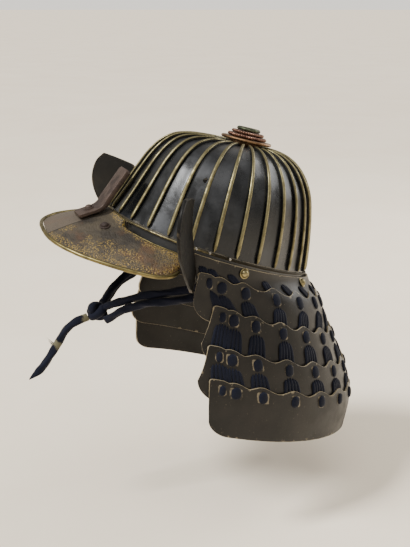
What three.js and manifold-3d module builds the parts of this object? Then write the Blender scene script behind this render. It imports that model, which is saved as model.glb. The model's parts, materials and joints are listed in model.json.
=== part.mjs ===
// A riveted plate helmet with a peak, a five-lame neck guard and a rolled chin cord.
// Units are millimetres. +Z is up, the brow faces -Y and the wearer's left is +X.
// The origin is the point inside the crown that rests on the head. The helmet sits tipped
// back, so its own pieces share a frame that leans; the chin cord hangs in the upright one.

import * as THREE from 'three';
import { mergeVertices } from 'three/addons/utils/BufferGeometryUtils.js';
import Module from 'manifold-3d';

const manifold = await Module();
manifold.setup();

// ---------------------------------------------------------------- driving dimensions

const GAP = 0.35; // clearance between pieces that touch
const LEAN = THREE.MathUtils.degToRad(14.2);

const BOWL = {
  plates: 28,
  halfWidth: 102,
  halfLength: 120,
  ovalCentre: -13.5, // the oval's middle lies ahead of the finial's axis
  frontFullness: 0.2, // widens the oval ahead of its middle
  crownHeight: 114, // rim plane to crown
  crownDip: 0.8,
  frontRise: 14, // the rim climbs at the brow and drops at the nape
  wall: 2.4,
};
const AIR_HOLE = { radius: 2.3, heading: 54.5, section: 2.6, sides: 12, length: 20 };

// Bowl profile: how far up (rise) and how far out (reach) each section lies.
const BOWL_SECTIONS = [
  { rise: 0.0, front: 1.0, side: 1.0, rear: 1.0 },
  { rise: 0.25, front: 0.915, side: 0.98, rear: 0.955 },
  { rise: 0.5, front: 0.835, side: 0.925, rear: 0.895 },
  { rise: 0.7, front: 0.765, side: 0.84, rear: 0.82 },
  { rise: 0.86, front: 0.68, side: 0.7, rear: 0.69 },
  { rise: 0.955, front: 0.57, side: 0.53, rear: 0.53 },
  { rise: 0.995, front: 0.37, side: 0.33, rear: 0.33 },
];

const RIB = { width: 3.2, height: 3.8, ridge: 1.8, endRadius: 24 };
const BAND = { drop: 14, wall: 2.4, flare: 1.8 };
const BAND_TRIM = { height: 2.6, depth: 2.5 };

// Peak, from its middle to its left end: where its root meets the brow (rise over the rim,
// stand-off from it) and where its lip lies. The root's step is the notch beside its tongue,
// and the lip is lower by its tilt on the left and higher by it on the right.
const PEAK_SECTIONS = [
  { heading: 0, rootRise: 3, standOff: 5.6, lipSide: 0, lipAhead: 206.5, lipDrop: 17.8, tilt: 0 },
  { heading: 5, rootRise: 2.5, standOff: 5.6, lipSide: 18, lipAhead: 205.3, lipDrop: 18.2, tilt: 2 },
  { heading: 10, rootRise: 1.6, standOff: 5.6, lipSide: 35.5, lipAhead: 200.5, lipDrop: 18.5, tilt: 3.9 },
  { heading: 14, rootRise: 0.4, standOff: 5.6, lipSide: 49, lipAhead: 193.3, lipDrop: 18.5, tilt: 5.4 },
  { heading: 17, rootRise: -1, standOff: 5.6, lipSide: 58.5, lipAhead: 186.5, lipDrop: 18.3, tilt: 6.4 },
  { heading: 18.2, rootRise: -10, standOff: 3.8, lipSide: 63, lipAhead: 182.6, lipDrop: 18.2, tilt: 7 },
  { heading: 23, rootRise: -10.6, standOff: 3.8, lipSide: 75.5, lipAhead: 169.5, lipDrop: 17.7, tilt: 8.3 },
  { heading: 28, rootRise: -11, standOff: 3.8, lipSide: 85.5, lipAhead: 156, lipDrop: 17.2, tilt: 9.4 },
  { heading: 34, rootRise: -11.6, standOff: 3.8, lipSide: 94, lipAhead: 141.5, lipDrop: 16.8, tilt: 10.3 },
  { heading: 39.5, rootRise: -12, standOff: 3.8, lipSide: 100, lipAhead: 128, lipDrop: 17.2, tilt: 10.2 },
  { heading: 45, rootRise: -12, standOff: 3.8, lipSide: 104.5, lipAhead: 115, lipDrop: 18, tilt: 9.5 },
  { heading: 50.5, rootRise: -12, standOff: 3.8, lipSide: 107, lipAhead: 104, lipDrop: 18.1, tilt: 8.2 },
  { heading: 55, rootRise: -12.5, standOff: 3.8, lipSide: 106.5, lipAhead: 94, lipDrop: 17.1, tilt: 6.2 },
  { heading: 58, rootRise: -13, standOff: 3.8, lipSide: 103.5, lipAhead: 87, lipDrop: 14.6, tilt: 4 },
];
const PEAK = { wall: 1.9, crown: 2.2, trimRadius: 2.2 };

// Crest holder: a thick strip bent along its side view; points are [ahead, up].
const HOLDER = {
  width: 27, footWall: 4.6, stemWall: 7.2, bend: 7,
  toe: [-175, 1.2], heel: [-149, 14.8], top: [-129, 60],
};

const STUD = { collar: 5.7, dome: 4.3, height: 4.1, sides: 10 };
const PEAK_STUD = { column: 3, row: 2, share: 0.5 };

// Turned-back flap: where its root lies and how far it reaches from there along its heading,
// at each height. Near its top the root dips below the free edge.
const FLAP_SECTIONS = [
  { height: -40, reach: 5, heading: 54, rootAhead: 78, dip: 0 },
  { height: -30, reach: 21, heading: 54, rootAhead: 76.5, dip: 0 },
  { height: -14, reach: 47, heading: 54.5, rootAhead: 75.5, dip: 0 },
  { height: 4, reach: 69, heading: 55, rootAhead: 77, dip: 0 },
  { height: 20, reach: 75.5, heading: 55.5, rootAhead: 78.5, dip: 0 },
  { height: 37.5, reach: 73, heading: 56, rootAhead: 78.5, dip: 0.5 },
  { height: 50, reach: 66.5, heading: 57, rootAhead: 77.5, dip: 1.5 },
  { height: 58.5, reach: 57, heading: 57.5, rootAhead: 76, dip: 3 },
];
const FLAP = { wall: 3.2, rootSide: 102, curl: 4, columns: 4 };

// The neck guard's flare: its oval at each height below the rim plane, how much fuller that
// oval is ahead of its middle, and how much narrower behind it.
const SKIRT = [
  { up: 10, centre: -13, side: 104.6, rear: 106.8, fullness: 0.2, taper: 0.19 },
  { up: -15, centre: -11, side: 107.5, rear: 109.3, fullness: 0.19, taper: 0.235 },
  { up: -36, centre: -3, side: 112.5, rear: 126.6, fullness: 0.1, taper: 0.075 },
  { up: -75, centre: 8, side: 123, rear: 155, fullness: 0, taper: 0 },
  { up: -117, centre: 20, side: 135, rear: 187, fullness: 0, taper: 0 },
  { up: -148, centre: 27, side: 142, rear: 202, fullness: 0, taper: 0 },
  { up: -186, centre: 30, side: 146.5, rear: 209, fullness: 0, taper: 0 },
];

// Neck guard lames: the height of each one's edges at its front end and at the nape, how far
// ahead of the finial's axis the ends of those edges lie, and how far its top stands out.
const LAMES = [
  { topFront: 1, topRear: -18.5, lowFront: -38, lowRear: -47, topAhead: 73.8, lowAhead: 65, out: 2.2 },
  { topFront: -18.5, topRear: -35, lowFront: -65, lowRear: -88, topAhead: 64, lowAhead: 63, out: 3.1 },
  { topFront: -50, topRear: -73, lowFront: -108, lowRear: -130, topAhead: 42, lowAhead: 47, out: 3.1 },
  { topFront: -91, topRear: -105, lowFront: -146, lowRear: -162, topAhead: 41, lowAhead: 45, out: 3.1 },
  { topFront: -124.5, topRear: -135, lowFront: -183, lowRear: -185, topAhead: 35, lowAhead: 28, out: 3.1 },
];
const LAME = { wall: 2, tuck: 3.1, waves: 12, crest: 2.7, trough: -1.8, cornerRadius: 17 };

// Round dome studs that hold the neck guard to the base band, on the wearer's left.
const NECK_STUDS = [
  { place: 'front', heading: 88, share: 0.835 },
  { place: 'rear', heading: 136, share: 0.81 },
];

// Finial tiers from the crown up: each is a disc with a rolled edge.
const FINIAL = [
  { name: 'finial_base', radius: 29.3, low: 4.2, high: 8.2, core: 20 },
  { name: 'finial_ring_lower', radius: 22.6, low: 8.2, high: 12.4, core: 12 },
  { name: 'finial_ring_upper', radius: 18.8, low: 12.4, high: 16.2, core: 12 },
  { name: 'finial_knob', radius: 13.8, low: 16.2, high: 20.5, core: 8 },
];

// Chin cord, in the upright frame: hand-laid points on the wearer's left, [left, back, up].
const CORD = { radius: 4.7, sides: 8 };
const LOWER_STRAND = [
  [12.2, -170.8, -181.7], [28, -157, -168], [45, -137, -157], [60, -116, -152],
  [74, -94, -147], [84, -76, -140], [92.5, -61, -129], [96, -57, -118.3],
];
const UPPER_STRAND = [
  [7.6, -170.6, -168.1], [27, -150, -156], [43, -131, -148], [58, -110, -143],
  [71, -92, -137], [80, -83, -131.5], [91, -74, -126], [96, -69.5, -118.3],
];
const TAIL = [
  [0, -189.6, -179.5], [0, -203, -184.5], [0, -215, -193], [0, -223, -204],
  [0, -231, -217], [0, -239, -228], [0, -249, -238], [0, -259, -246],
];
const KNOT = { back: -178, up: -175, half: [12, 12, 12.5] };
const ANCHOR = { size: [3, 24, 12], side: 99.2, back: -63, up: -110.8 };

// ---------------------------------------------------------------- materials

const finish = (color, roughness, metalness) => () =>
  new THREE.MeshStandardMaterial({ color, roughness, metalness });

const bowlIron = finish(0x2b2b2a, 0.38, 0.55);
const agedBrass = finish(0x7d6f45, 0.45, 0.8);
const bandLacquer = finish(0x1d1d1f, 0.4, 0.1);
const peakGilt = finish(0x6d5f3e, 0.6, 0.4);
const russetIron = finish(0x3b2d2a, 0.6, 0.5);
const lameLacquer = finish(0x3a3531, 0.45, 0.15);
const flapLacquer = finish(0x1a1817, 0.45, 0.1);
const studBrass = finish(0x8f7c45, 0.35, 0.85);
const finialGilt = finish(0x7c5f40, 0.45, 0.8);
const finialCopper = finish(0x6a3e31, 0.5, 0.7);
const finialBronze = finish(0x2c3129, 0.4, 0.8);
const cordCloth = finish(0x1b2133, 0.9, 0.0);

// ---------------------------------------------------------------- helpers

const lerp = THREE.MathUtils.lerp;
const radians = THREE.MathUtils.degToRad;
const vec = (x, y, z) => new THREE.Vector3(x, y, z);
const range = (count) => Array.from({ length: count }, (_, i) => i);

function solidFrom(points, faces) {
  const geometry = new THREE.BufferGeometry();
  const flat = points.flatMap((p) => p.toArray());
  geometry.setAttribute('position', new THREE.Float32BufferAttribute(flat, 3));
  geometry.setIndex(faces);
  return geometry;
}

// A closed plate between two matching grids of points, outer[row][column] and
// inner[row][column]. Seen from outside, columns run to the right and rows run up. With loop,
// the last column joins the first one.
function plate(outer, inner, loop = false) {
  const rows = outer.length;
  const columns = outer[0].length;
  const back = rows * columns;
  const at = (row, column) => row * columns + (column % columns);
  const faces = [];
  const quad = (a, b, c, d) => faces.push(a, b, c, a, c, d);
  const spans = loop ? columns : columns - 1;
  for (const column of range(spans)) {
    for (const row of range(rows - 1)) {
      const a = at(row, column);
      const b = at(row, column + 1);
      const c = at(row + 1, column + 1);
      const d = at(row + 1, column);
      quad(a, b, c, d);
      quad(back + d, back + c, back + b, back + a);
    }
    const [a, b] = [at(0, column), at(0, column + 1)];
    const [c, d] = [at(rows - 1, column + 1), at(rows - 1, column)];
    quad(b, a, back + a, back + b);
    quad(d, c, back + c, back + d);
  }
  if (!loop) {
    for (const row of range(rows - 1)) {
      const [a, d] = [at(row, 0), at(row + 1, 0)];
      const [b, c] = [at(row, columns - 1), at(row + 1, columns - 1)];
      quad(a, d, back + d, back + a);
      quad(c, b, back + b, back + c);
    }
  }
  return solidFrom([...outer.flat(), ...inner.flat()], faces);
}

// A bar through rings of section points, capped at both ends. Each ring runs counter-clockwise
// seen from the bar's far end. With loop, the last ring joins the first one instead.
function bar(rings, loop = false) {
  const sides = rings[0].length;
  const at = (ring, side) => (ring % rings.length) * sides + (side % sides);
  const faces = [];
  for (const ring of range(loop ? rings.length : rings.length - 1)) {
    for (const side of range(sides)) {
      const a = at(ring, side);
      const b = at(ring, side + 1);
      const c = at(ring + 1, side + 1);
      const d = at(ring + 1, side);
      faces.push(a, b, c, a, c, d);
    }
  }
  if (!loop) {
    const last = rings.length - 1;
    for (const side of range(sides - 2)) {
      faces.push(at(0, 0), at(0, side + 2), at(0, side + 1));
      faces.push(at(last, 0), at(last, side + 1), at(last, side + 2));
    }
  }
  return solidFrom(rings.flat(), faces);
}

// The grid moved along its own normals, away from the side it is seen from.
function inset(grid, depth) {
  const rows = grid.length;
  const columns = grid[0].length;
  return grid.map((line, row) =>
    line.map((point, column) => {
      const right = line[Math.min(column + 1, columns - 1)].clone();
      right.sub(line[Math.max(column - 1, 0)]);
      const up = grid[Math.min(row + 1, rows - 1)][column].clone();
      up.sub(grid[Math.max(row - 1, 0)][column]);
      return point.clone().addScaledVector(right.cross(up).normalize(), -depth);
    }),
  );
}

function toManifold(geometry) {
  const bare = new THREE.BufferGeometry();
  bare.setAttribute('position', geometry.getAttribute('position'));
  bare.setIndex(geometry.index);
  const merged = mergeVertices(bare, 1e-4);
  return new manifold.Manifold(new manifold.Mesh({
    numProp: 3,
    vertProperties: merged.getAttribute('position').array,
    triVerts: new Uint32Array(merged.index.array),
  }));
}

function fromManifold(solid) {
  const { vertProperties, triVerts } = solid.getMesh();
  const geometry = new THREE.BufferGeometry();
  geometry.setAttribute('position', new THREE.Float32BufferAttribute(vertProperties, 3));
  geometry.setIndex([...triVerts]);
  return geometry;
}

function mesh(name, geometry, material) {
  geometry.computeVertexNormals();
  const piece = new THREE.Mesh(geometry, material());
  piece.name = name;
  return piece;
}

// Value of one column of a table at a key between its rows, on a smooth curve.
function fromTable(table, key, at, column) {
  const last = table.length - 1;
  let i = 0;
  while (i < last - 1 && at > table[i + 1][key]) i += 1;
  const span = table[i + 1][key] - table[i][key];
  return lerp(table[i][column], table[i + 1][column], (at - table[i][key]) / span);
}

// ---------------------------------------------------------------- bowl and its ribs

function rimPoint(heading, standOff = 0) {
  const s = Math.sin(heading);
  const c = Math.cos(heading);
  return vec(
    (BOWL.halfWidth + standOff) * s * (1 + BOWL.frontFullness * c),
    BOWL.ovalCentre - (BOWL.halfLength + standOff) * c,
    BOWL.frontRise * c,
  );
}

// Point of the bowl at a heading (0 at the brow, positive to the left) and a section row.
function bowlPoint(heading, section, standOff = 0) {
  const rim = rimPoint(heading, standOff);
  const c = Math.cos(heading);
  const reach = lerp(section.side, c > 0 ? section.front : section.rear, c * c);
  const top = BOWL.crownHeight + standOff;
  return vec(rim.x * reach, rim.y * reach, lerp(rim.z, top, section.rise));
}

function buildBowl() {
  const columns = BOWL.plates * 2;
  const shell = (standOff) =>
    BOWL_SECTIONS.map((section) =>
      range(columns).map((i) => bowlPoint((i * 2 * Math.PI) / columns, section, standOff)),
    );
  const outer = shell(0);
  const inner = shell(-BOWL.wall);
  const rows = BOWL_SECTIONS.length;
  const back = rows * columns;
  const apex = 2 * back;
  const at = (row, column) => row * columns + (column % columns);
  const faces = [];
  const quad = (a, b, c, d) => faces.push(a, b, c, a, c, d);
  for (const column of range(columns)) {
    for (const row of range(rows - 1)) {
      const a = at(row, column);
      const b = at(row, column + 1);
      const c = at(row + 1, column + 1);
      const d = at(row + 1, column);
      quad(a, b, c, d);
      quad(back + d, back + c, back + b, back + a);
    }
    const [a, b] = [at(0, column), at(0, column + 1)];
    const [c, d] = [at(rows - 1, column + 1), at(rows - 1, column)];
    quad(b, a, back + a, back + b);
    faces.push(apex, d, c, apex + 1, back + c, back + d);
  }
  const crown = BOWL.crownHeight - BOWL.crownDip;
  const points = [...outer.flat(), ...inner.flat(), vec(0, 0, crown), vec(0, 0, crown - BOWL.wall)];
  const drilled = [1, -1].reduce(drillAirHole, solidFrom(points, faces));
  return mesh('bowl', drilled, bowlIron);
}

// The shell with one round air hole drilled square through a plate.
function drillAirHole(shell, side) {
  const heading = side * radians(AIR_HOLE.heading);
  const [below, above] = [Math.floor(AIR_HOLE.section), Math.ceil(AIR_HOLE.section)].map(
    (row) => bowlPoint(heading, BOWL_SECTIONS[row]),
  );
  const centre = below.clone().lerp(above, AIR_HOLE.section % 1);
  const drill = new THREE.CylinderGeometry(
    AIR_HOLE.radius, AIR_HOLE.radius, AIR_HOLE.length, AIR_HOLE.sides,
  );
  const round = rimPoint(heading + 0.01).sub(rimPoint(heading - 0.01)).setZ(0);
  const out = round.cross(above.sub(below)).normalize();
  const turn = new THREE.Quaternion().setFromUnitVectors(vec(0, 1, 0), out);
  drill.applyQuaternion(turn).translate(...centre.toArray());
  return fromManifold(toManifold(shell).subtract(toManifold(drill)));
}

// One brass-capped rib, standing on the seam between two plates from the rim to the crown.
function buildRib(index) {
  const heading = ((index + 0.5) * 2 * Math.PI) / BOWL.plates;
  const spine = BOWL_SECTIONS.map((section) => bowlPoint(heading, section));
  const crown = vec(0, 0, BOWL.crownHeight - BOWL.crownDip);
  const last = spine.at(-1);
  const lastRadius = Math.hypot(last.x, last.y);
  spine.push(last.clone().lerp(crown, 1 - RIB.endRadius / lastRadius));
  const side = rimPoint(heading + 0.01).sub(rimPoint(heading - 0.01)).setZ(0).normalize();
  const rings = spine.map((point, i) => {
    const along = spine[Math.min(i + 1, spine.length - 1)].clone();
    along.sub(spine[Math.max(i - 1, 0)]).normalize();
    const out = side.clone().cross(along).normalize();
    const corner = (n, b) => point.clone().addScaledVector(out, n).addScaledVector(side, b);
    return [
      corner(GAP, -RIB.width / 2),
      corner(RIB.height, -RIB.ridge / 2),
      corner(RIB.height, RIB.ridge / 2),
      corner(GAP, RIB.width / 2),
    ];
  });
  return mesh(`rib_${String(index + 1).padStart(2, '0')}`, bar(rings), agedBrass);
}

// ---------------------------------------------------------------- base band

function buildBand() {
  const columns = 44;
  const wall = (standOff, flare) => [
    { drop: BAND.drop, out: standOff + flare },
    { drop: GAP, out: standOff },
  ].map(({ drop, out }) =>
    range(columns).map((i) => {
      const point = rimPoint((i * 2 * Math.PI) / columns, out);
      point.z -= drop;
      return point;
    }),
  );
  const solid = plate(wall(0, BAND.flare), wall(-BAND.wall, BAND.flare), true);
  return mesh('base_band', solid, bandLacquer);
}

function buildBandTrim() {
  const columns = 56;
  const section = [
    [-BAND_TRIM.height, GAP],
    [0, GAP],
    [0, 0.7 * BAND_TRIM.depth],
    [-BAND_TRIM.height / 2, BAND_TRIM.depth],
    [-BAND_TRIM.height, 0.7 * BAND_TRIM.depth],
  ];
  const rings = range(columns).map((i) =>
    section.map(([up, out]) => {
      const point = rimPoint((i * 2 * Math.PI) / columns, out + BAND.flare / 2);
      point.z += up - GAP;
      return point;
    }),
  );
  return mesh('base_band_trim', bar(rings, true), agedBrass);
}

// ---------------------------------------------------------------- peak

function peakColumns() {
  const right = PEAK_SECTIONS.slice(1).reverse().map((row) => ({
    ...row, heading: -row.heading, lipSide: -row.lipSide, tilt: -row.tilt,
  }));
  return [...right, ...PEAK_SECTIONS];
}

// The peak's upper face, from its lip up to its root. Only the root's own row takes the notch;
// the rows between blend towards an even line round the brow.
function peakGrid() {
  const [tongue, end] = [PEAK_SECTIONS[0], PEAK_SECTIONS.at(-1)];
  const shares = [1, 0.72, 0.44, 0.18, 0];
  return shares.map((share) =>
    peakColumns().map((row) => {
      const turn = Math.abs(row.heading) / end.heading;
      const even = lerp(tongue.rootRise, end.rootRise, Math.sin((turn * Math.PI) / 2));
      const root = rimPoint(radians(row.heading), row.standOff);
      root.z += share === 0 ? row.rootRise : even;
      const lip = vec(row.lipSide, -row.lipAhead, -row.lipDrop - row.tilt);
      const point = root.lerp(lip, share);
      point.z += PEAK.crown * Math.sin(Math.PI * share);
      return point;
    }),
  );
}

function buildPeak() {
  const grid = peakGrid();
  return mesh('peak', plate(grid, inset(grid, PEAK.wall)), peakGilt);
}

// A rolled edge along the lip, mitred at each of the peak's columns.
function buildPeakTrim() {
  const lip = peakGrid()[0];
  const sides = 6;
  const reach = PEAK.trimRadius * Math.cos(Math.PI / sides) + 1.4 * GAP;
  const rings = lip.map((point, i) => {
    const before = point.clone().sub(lip[Math.max(i - 1, 0)]).normalize();
    const after = lip[Math.min(i + 1, lip.length - 1)].clone().sub(point).normalize();
    const along = before.clone().add(after).normalize();
    const out = vec(0, 0, 1).cross(along).negate().normalize();
    const up = along.clone().cross(out).negate().normalize();
    const mitre = 1 / Math.max(along.dot(after), along.dot(before));
    const centre = point.clone().addScaledVector(out, reach * mitre);
    centre.addScaledVector(up, -PEAK.wall / 2);
    return range(sides).map((side) => {
      const turn = (side * 2 * Math.PI) / sides;
      return centre.clone()
        .addScaledVector(up, PEAK.trimRadius * Math.cos(turn))
        .addScaledVector(out, PEAK.trimRadius * mitre * Math.sin(turn));
    });
  });
  return mesh('peak_trim', bar(rings), agedBrass);
}

// ---------------------------------------------------------------- crest holder and studs

// The holder's side view, [ahead, up] around its strip from the toe to the stem and back.
function holderOutline() {
  const [toe, heel, top] = [HOLDER.toe, HOLDER.heel, HOLDER.top].map((p) => new THREE.Vector2(...p));
  const foot = heel.clone().sub(toe).normalize();
  const stem = top.clone().sub(heel).normalize();
  const before = heel.clone().addScaledVector(foot, -HOLDER.bend);
  const after = heel.clone().addScaledVector(stem, HOLDER.bend);
  const raised = (point, along, wall) =>
    point.clone().add(new THREE.Vector2(-along.y, along.x).multiplyScalar(wall));
  return [
    toe, before, after, top,
    raised(top, stem, HOLDER.stemWall),
    raised(after, stem, HOLDER.stemWall),
    raised(before, foot, HOLDER.footWall),
    raised(toe, foot, HOLDER.footWall),
  ];
}

function buildHolder() {
  const shape = new THREE.Shape(holderOutline());
  const solid = new THREE.ExtrudeGeometry(shape, { depth: HOLDER.width, bevelEnabled: false });
  solid.translate(0, 0, -HOLDER.width / 2);
  const upright = new THREE.Matrix4().makeBasis(vec(0, 1, 0), vec(0, 0, 1), vec(1, 0, 0));
  return mesh('crest_holder', solid.applyMatrix4(upright), russetIron);
}

// A round-headed stud with a thin collar, just off a surface point along its normal.
function buildStud(name, point, normal, material) {
  const profile = [
    [0, 0],
    [STUD.collar, 0],
    [STUD.collar, 0.9],
    [STUD.dome, 1.1],
    [0.7 * STUD.dome, 0.8 * STUD.height],
    [0, STUD.height],
  ].map(([r, up]) => new THREE.Vector2(r, up));
  const stud = mesh(name, new THREE.LatheGeometry(profile, STUD.sides), material);
  stud.quaternion.setFromUnitVectors(vec(0, 1, 0), normal);
  stud.position.copy(point).addScaledVector(normal, GAP + 0.25);
  return stud;
}

function buildCrestStud() {
  const [toe, heel] = [vec(0, ...HOLDER.toe), vec(0, ...HOLDER.heel)];
  const foot = heel.clone().sub(toe).normalize();
  const normal = vec(1, 0, 0).cross(foot);
  const point = toe.lerp(heel, 0.5).addScaledVector(normal, HOLDER.footWall);
  return buildStud('crest_stud', point, normal, russetIron);
}

function buildPeakStuds() {
  const grid = peakGrid();
  const middle = PEAK_SECTIONS.length - 1;
  return [-1, 1].map((side) => {
    const column = middle + side * PEAK_STUD.column;
    const [low, high] = [grid[PEAK_STUD.row][column], grid[PEAK_STUD.row + 1][column]];
    const line = grid[PEAK_STUD.row];
    const [left, right] = [line[column - 1], line[column + 1]];
    const normal = right.clone().sub(left).cross(high.clone().sub(low)).normalize();
    const name = `peak_stud_${side > 0 ? 'left' : 'right'}`;
    return buildStud(name, low.clone().lerp(high, PEAK_STUD.share), normal, russetIron);
  });
}

// ---------------------------------------------------------------- turned-back flaps

// One flap, sweeping out and forward from the front end of the neck guard.
function buildFlap(side) {
  const grid = FLAP_SECTIONS.map(({ height, reach, heading, rootAhead, dip }) => {
    const turn = radians(heading);
    const line = range(FLAP.columns + 1).map((i) => {
      const share = i / FLAP.columns;
      const out = reach * share;
      const up = height - dip * (1 - share) ** 2;
      return vec(
        side * (FLAP.rootSide + out * Math.sin(turn)),
        FLAP.curl * (out / 60) ** 2 - out * Math.cos(turn) - rootAhead - up * Math.tan(LEAN),
        up,
      );
    });
    return side > 0 ? line : line.reverse();
  });
  const name = side > 0 ? 'turned_flap_left' : 'turned_flap_right';
  return mesh(name, plate(grid, inset(grid, FLAP.wall)), flapLacquer);
}

// ---------------------------------------------------------------- neck guard

// Point of the neck guard's flare at a heading and height, standing off it.
function skirtPoint(heading, up, standOff) {
  const at = Math.min(Math.max(-up, -SKIRT[0].up), -SKIRT.at(-1).up);
  const levels = SKIRT.map((row) => ({ ...row, drop: -row.up }));
  const [centre, side, rear, fullness, taper] = ['centre', 'side', 'rear', 'fullness', 'taper']
    .map((key) => fromTable(levels, 'drop', at, key));
  const c = Math.cos(heading);
  return vec(
    (side + standOff) * Math.sin(heading) * (1 + (c > 0 ? fullness : taper) * c),
    centre - (rear - centre + standOff) * c,
    up,
  );
}

// Point of a lame: share runs from its low edge (0) to its top edge (1).
function lamePoint(lame, heading, share, lift = 0) {
  const ahead = lerp(lame.lowAhead, lame.topAhead, share);
  const frontUp = lerp(lame.lowFront, lame.topFront, share);
  const rearUp = lerp(lame.lowRear, lame.topRear, share);
  const rear = skirtPoint(Math.PI, rearUp, 0).y;
  let up = rearUp;
  for (let pass = 0; pass < 5; pass += 1) {
    const { y } = skirtPoint(heading, up, 0);
    up = lerp(frontUp, rearUp, (y + ahead) / (rear + ahead));
  }
  return skirtPoint(heading, up + lift, lerp(-LAME.tuck, lame.out, share));
}

// Heading of a lame's left front end at a share of its height.
function lameStart(lame, share) {
  const up = lerp(lame.lowFront, lame.topFront, share);
  const side = skirtPoint(Math.PI / 2, up, 0);
  const depth = skirtPoint(Math.PI, up, 0).y - side.y;
  return Math.acos((side.y + lerp(lame.lowAhead, lame.topAhead, share)) / depth);
}

// How far the wavy top edge stands over its mean line, a share of the way round the lame.
function waveAt(share) {
  const fromCrest = Math.abs(((share * LAME.waves + 0.5) % 1) - 0.5);
  return lerp(LAME.crest, LAME.trough, Math.min(3 * fromCrest, 1));
}

// How far the low edge is lifted by its round corner, a distance from the lame's end.
function cornerLift(distance) {
  const left = Math.max(LAME.cornerRadius - distance, 0);
  return LAME.cornerRadius - Math.sqrt(LAME.cornerRadius ** 2 - left ** 2);
}

function buildLame(index) {
  const lame = LAMES[index];
  const columns = LAME.waves * 3;
  const places = [0, 0.2, 0.53, ...range(columns - 1).map((i) => i + 1)];
  places.push(columns - 0.53, columns - 0.2, columns);
  const grid = [0, 0.5, 1].map((share) => {
    const start = lameStart(lame, share);
    const end = 2 * Math.PI - start;
    return places.map((place) => {
      const heading = lerp(start, end, place / columns);
      const fromEnd = SKIRT[3].side * Math.min(heading - start, end - heading);
      const corner = share === 0 ? cornerLift(fromEnd) : 0;
      const wave = index > 0 && share === 1 ? waveAt(place / columns) : 0;
      return lamePoint(lame, heading, share, corner + wave);
    });
  });
  return mesh(`neck_lame_${index + 1}`, plate(grid, inset(grid, LAME.wall)), lameLacquer);
}

function buildNeckStuds() {
  return NECK_STUDS.flatMap(({ place, heading, share }) =>
    [1, -1].map((side) => {
      const turn = radians(heading);
      const lame = LAMES[0];
      const [middle, top] = [lamePoint(lame, turn, 0.5), lamePoint(lame, turn, 1)];
      const point = middle.clone().lerp(top, 2 * share - 1);
      const ahead = lamePoint(lame, turn + 0.05, share).sub(lamePoint(lame, turn - 0.05, share));
      const normal = ahead.cross(top.sub(middle)).normalize();
      point.x *= side;
      normal.x *= side;
      const name = `neck_stud_${place}_${side > 0 ? 'left' : 'right'}`;
      return buildStud(name, point, normal, studBrass);
    }),
  );
}

// ---------------------------------------------------------------- finial

function buildFinialTier({ name, radius, low, high, core }, material, index) {
  const crown = BOWL.crownHeight - (index === 0 ? BOWL.crownDip : 0);
  const foot = index === 0 ? GAP : low + GAP;
  const roll = (high - low) / 3;
  const profile = [
    [0, foot],
    [core, foot],
    [core, low + GAP],
    [radius - roll, low + GAP],
    [radius, low + roll],
    [radius, high - roll],
    [radius - roll, high],
    [0, high],
  ].map(([r, up]) => new THREE.Vector2(r, crown + up));
  const distinct = profile.filter((p, i) => i === 0 || p.distanceTo(profile[i - 1]) > 0.01);
  return mesh(name, new THREE.LatheGeometry(distinct, 20).rotateX(Math.PI / 2), material);
}

// ---------------------------------------------------------------- chin cord

function buildCord(name, route) {
  const path = new THREE.CatmullRomCurve3(route.map((p) => vec(...p)));
  const section = new THREE.Shape(
    range(CORD.sides).map((side) => {
      const turn = (side * 2 * Math.PI) / CORD.sides;
      return new THREE.Vector2(CORD.radius * Math.cos(turn), CORD.radius * Math.sin(turn));
    }),
  );
  const solid = new THREE.ExtrudeGeometry(section, {
    steps: 3 * (route.length - 1), extrudePath: path, bevelEnabled: false,
  });
  return mesh(name, solid, cordCloth);
}

// Both strands run from the knot to the left anchor and, mirrored, to the right one.
function buildStrands() {
  const sides = { left: 1, right: -1 };
  return Object.entries(sides).flatMap(([name, sign]) => {
    const turned = (route) => route.map(([left, back, up]) => [sign * left, back, up]);
    return [
      buildCord(`chin_cord_lower_${name}`, turned(LOWER_STRAND)),
      buildCord(`chin_cord_upper_${name}`, turned(UPPER_STRAND)),
    ];
  });
}

function buildKnot() {
  const knot = mesh('chin_knot', new THREE.SphereGeometry(1, 12, 8), cordCloth);
  knot.scale.set(...KNOT.half);
  knot.position.set(0, KNOT.back, KNOT.up);
  return knot;
}

function buildAnchor(side) {
  const name = side > 0 ? 'cord_anchor_left' : 'cord_anchor_right';
  const anchor = mesh(name, new THREE.BoxGeometry(...ANCHOR.size), russetIron);
  anchor.position.set(side * ANCHOR.side, ANCHOR.back, ANCHOR.up);
  return anchor;
}

// ---------------------------------------------------------------- assembly

const helmet = new THREE.Group();
helmet.add(buildBowl());
range(BOWL.plates).forEach((index) => helmet.add(buildRib(index)));
helmet.add(buildBand(), buildBandTrim());
helmet.add(buildPeak(), buildPeakTrim(), ...buildPeakStuds());
helmet.add(buildHolder(), buildCrestStud());
range(LAMES.length).forEach((index) => helmet.add(buildLame(index)));
helmet.add(buildFlap(1), buildFlap(-1), ...buildNeckStuds());
const finialFinishes = [finialGilt, finialCopper, finialCopper, finialBronze];
FINIAL.forEach((tier, i) => helmet.add(buildFinialTier(tier, finialFinishes[i], i)));

const seat = vec(0, 0, BOWL.crownHeight - BOWL.crownDip - BOWL.wall);
helmet.rotation.x = -LEAN;
helmet.position.copy(seat.applyEuler(new THREE.Euler(-LEAN, 0, 0)).negate());

const group = new THREE.Group();
group.add(helmet);
group.add(...buildStrands(), buildKnot(), buildCord('chin_tail', TAIL));
group.add(buildAnchor(1), buildAnchor(-1));

export default group;
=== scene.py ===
"""The finished look of a ribbed plate helmet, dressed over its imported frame.

Shapes are worked out in millimetres in the helmet's own leaning frame, whose origin is the
middle of the rim plane: -Y is the brow, +X the wearer's left, +Z the crown. Headings start at
the brow and grow towards the left. HelmetPose carries points into the row frame, in metres.
"""

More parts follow.
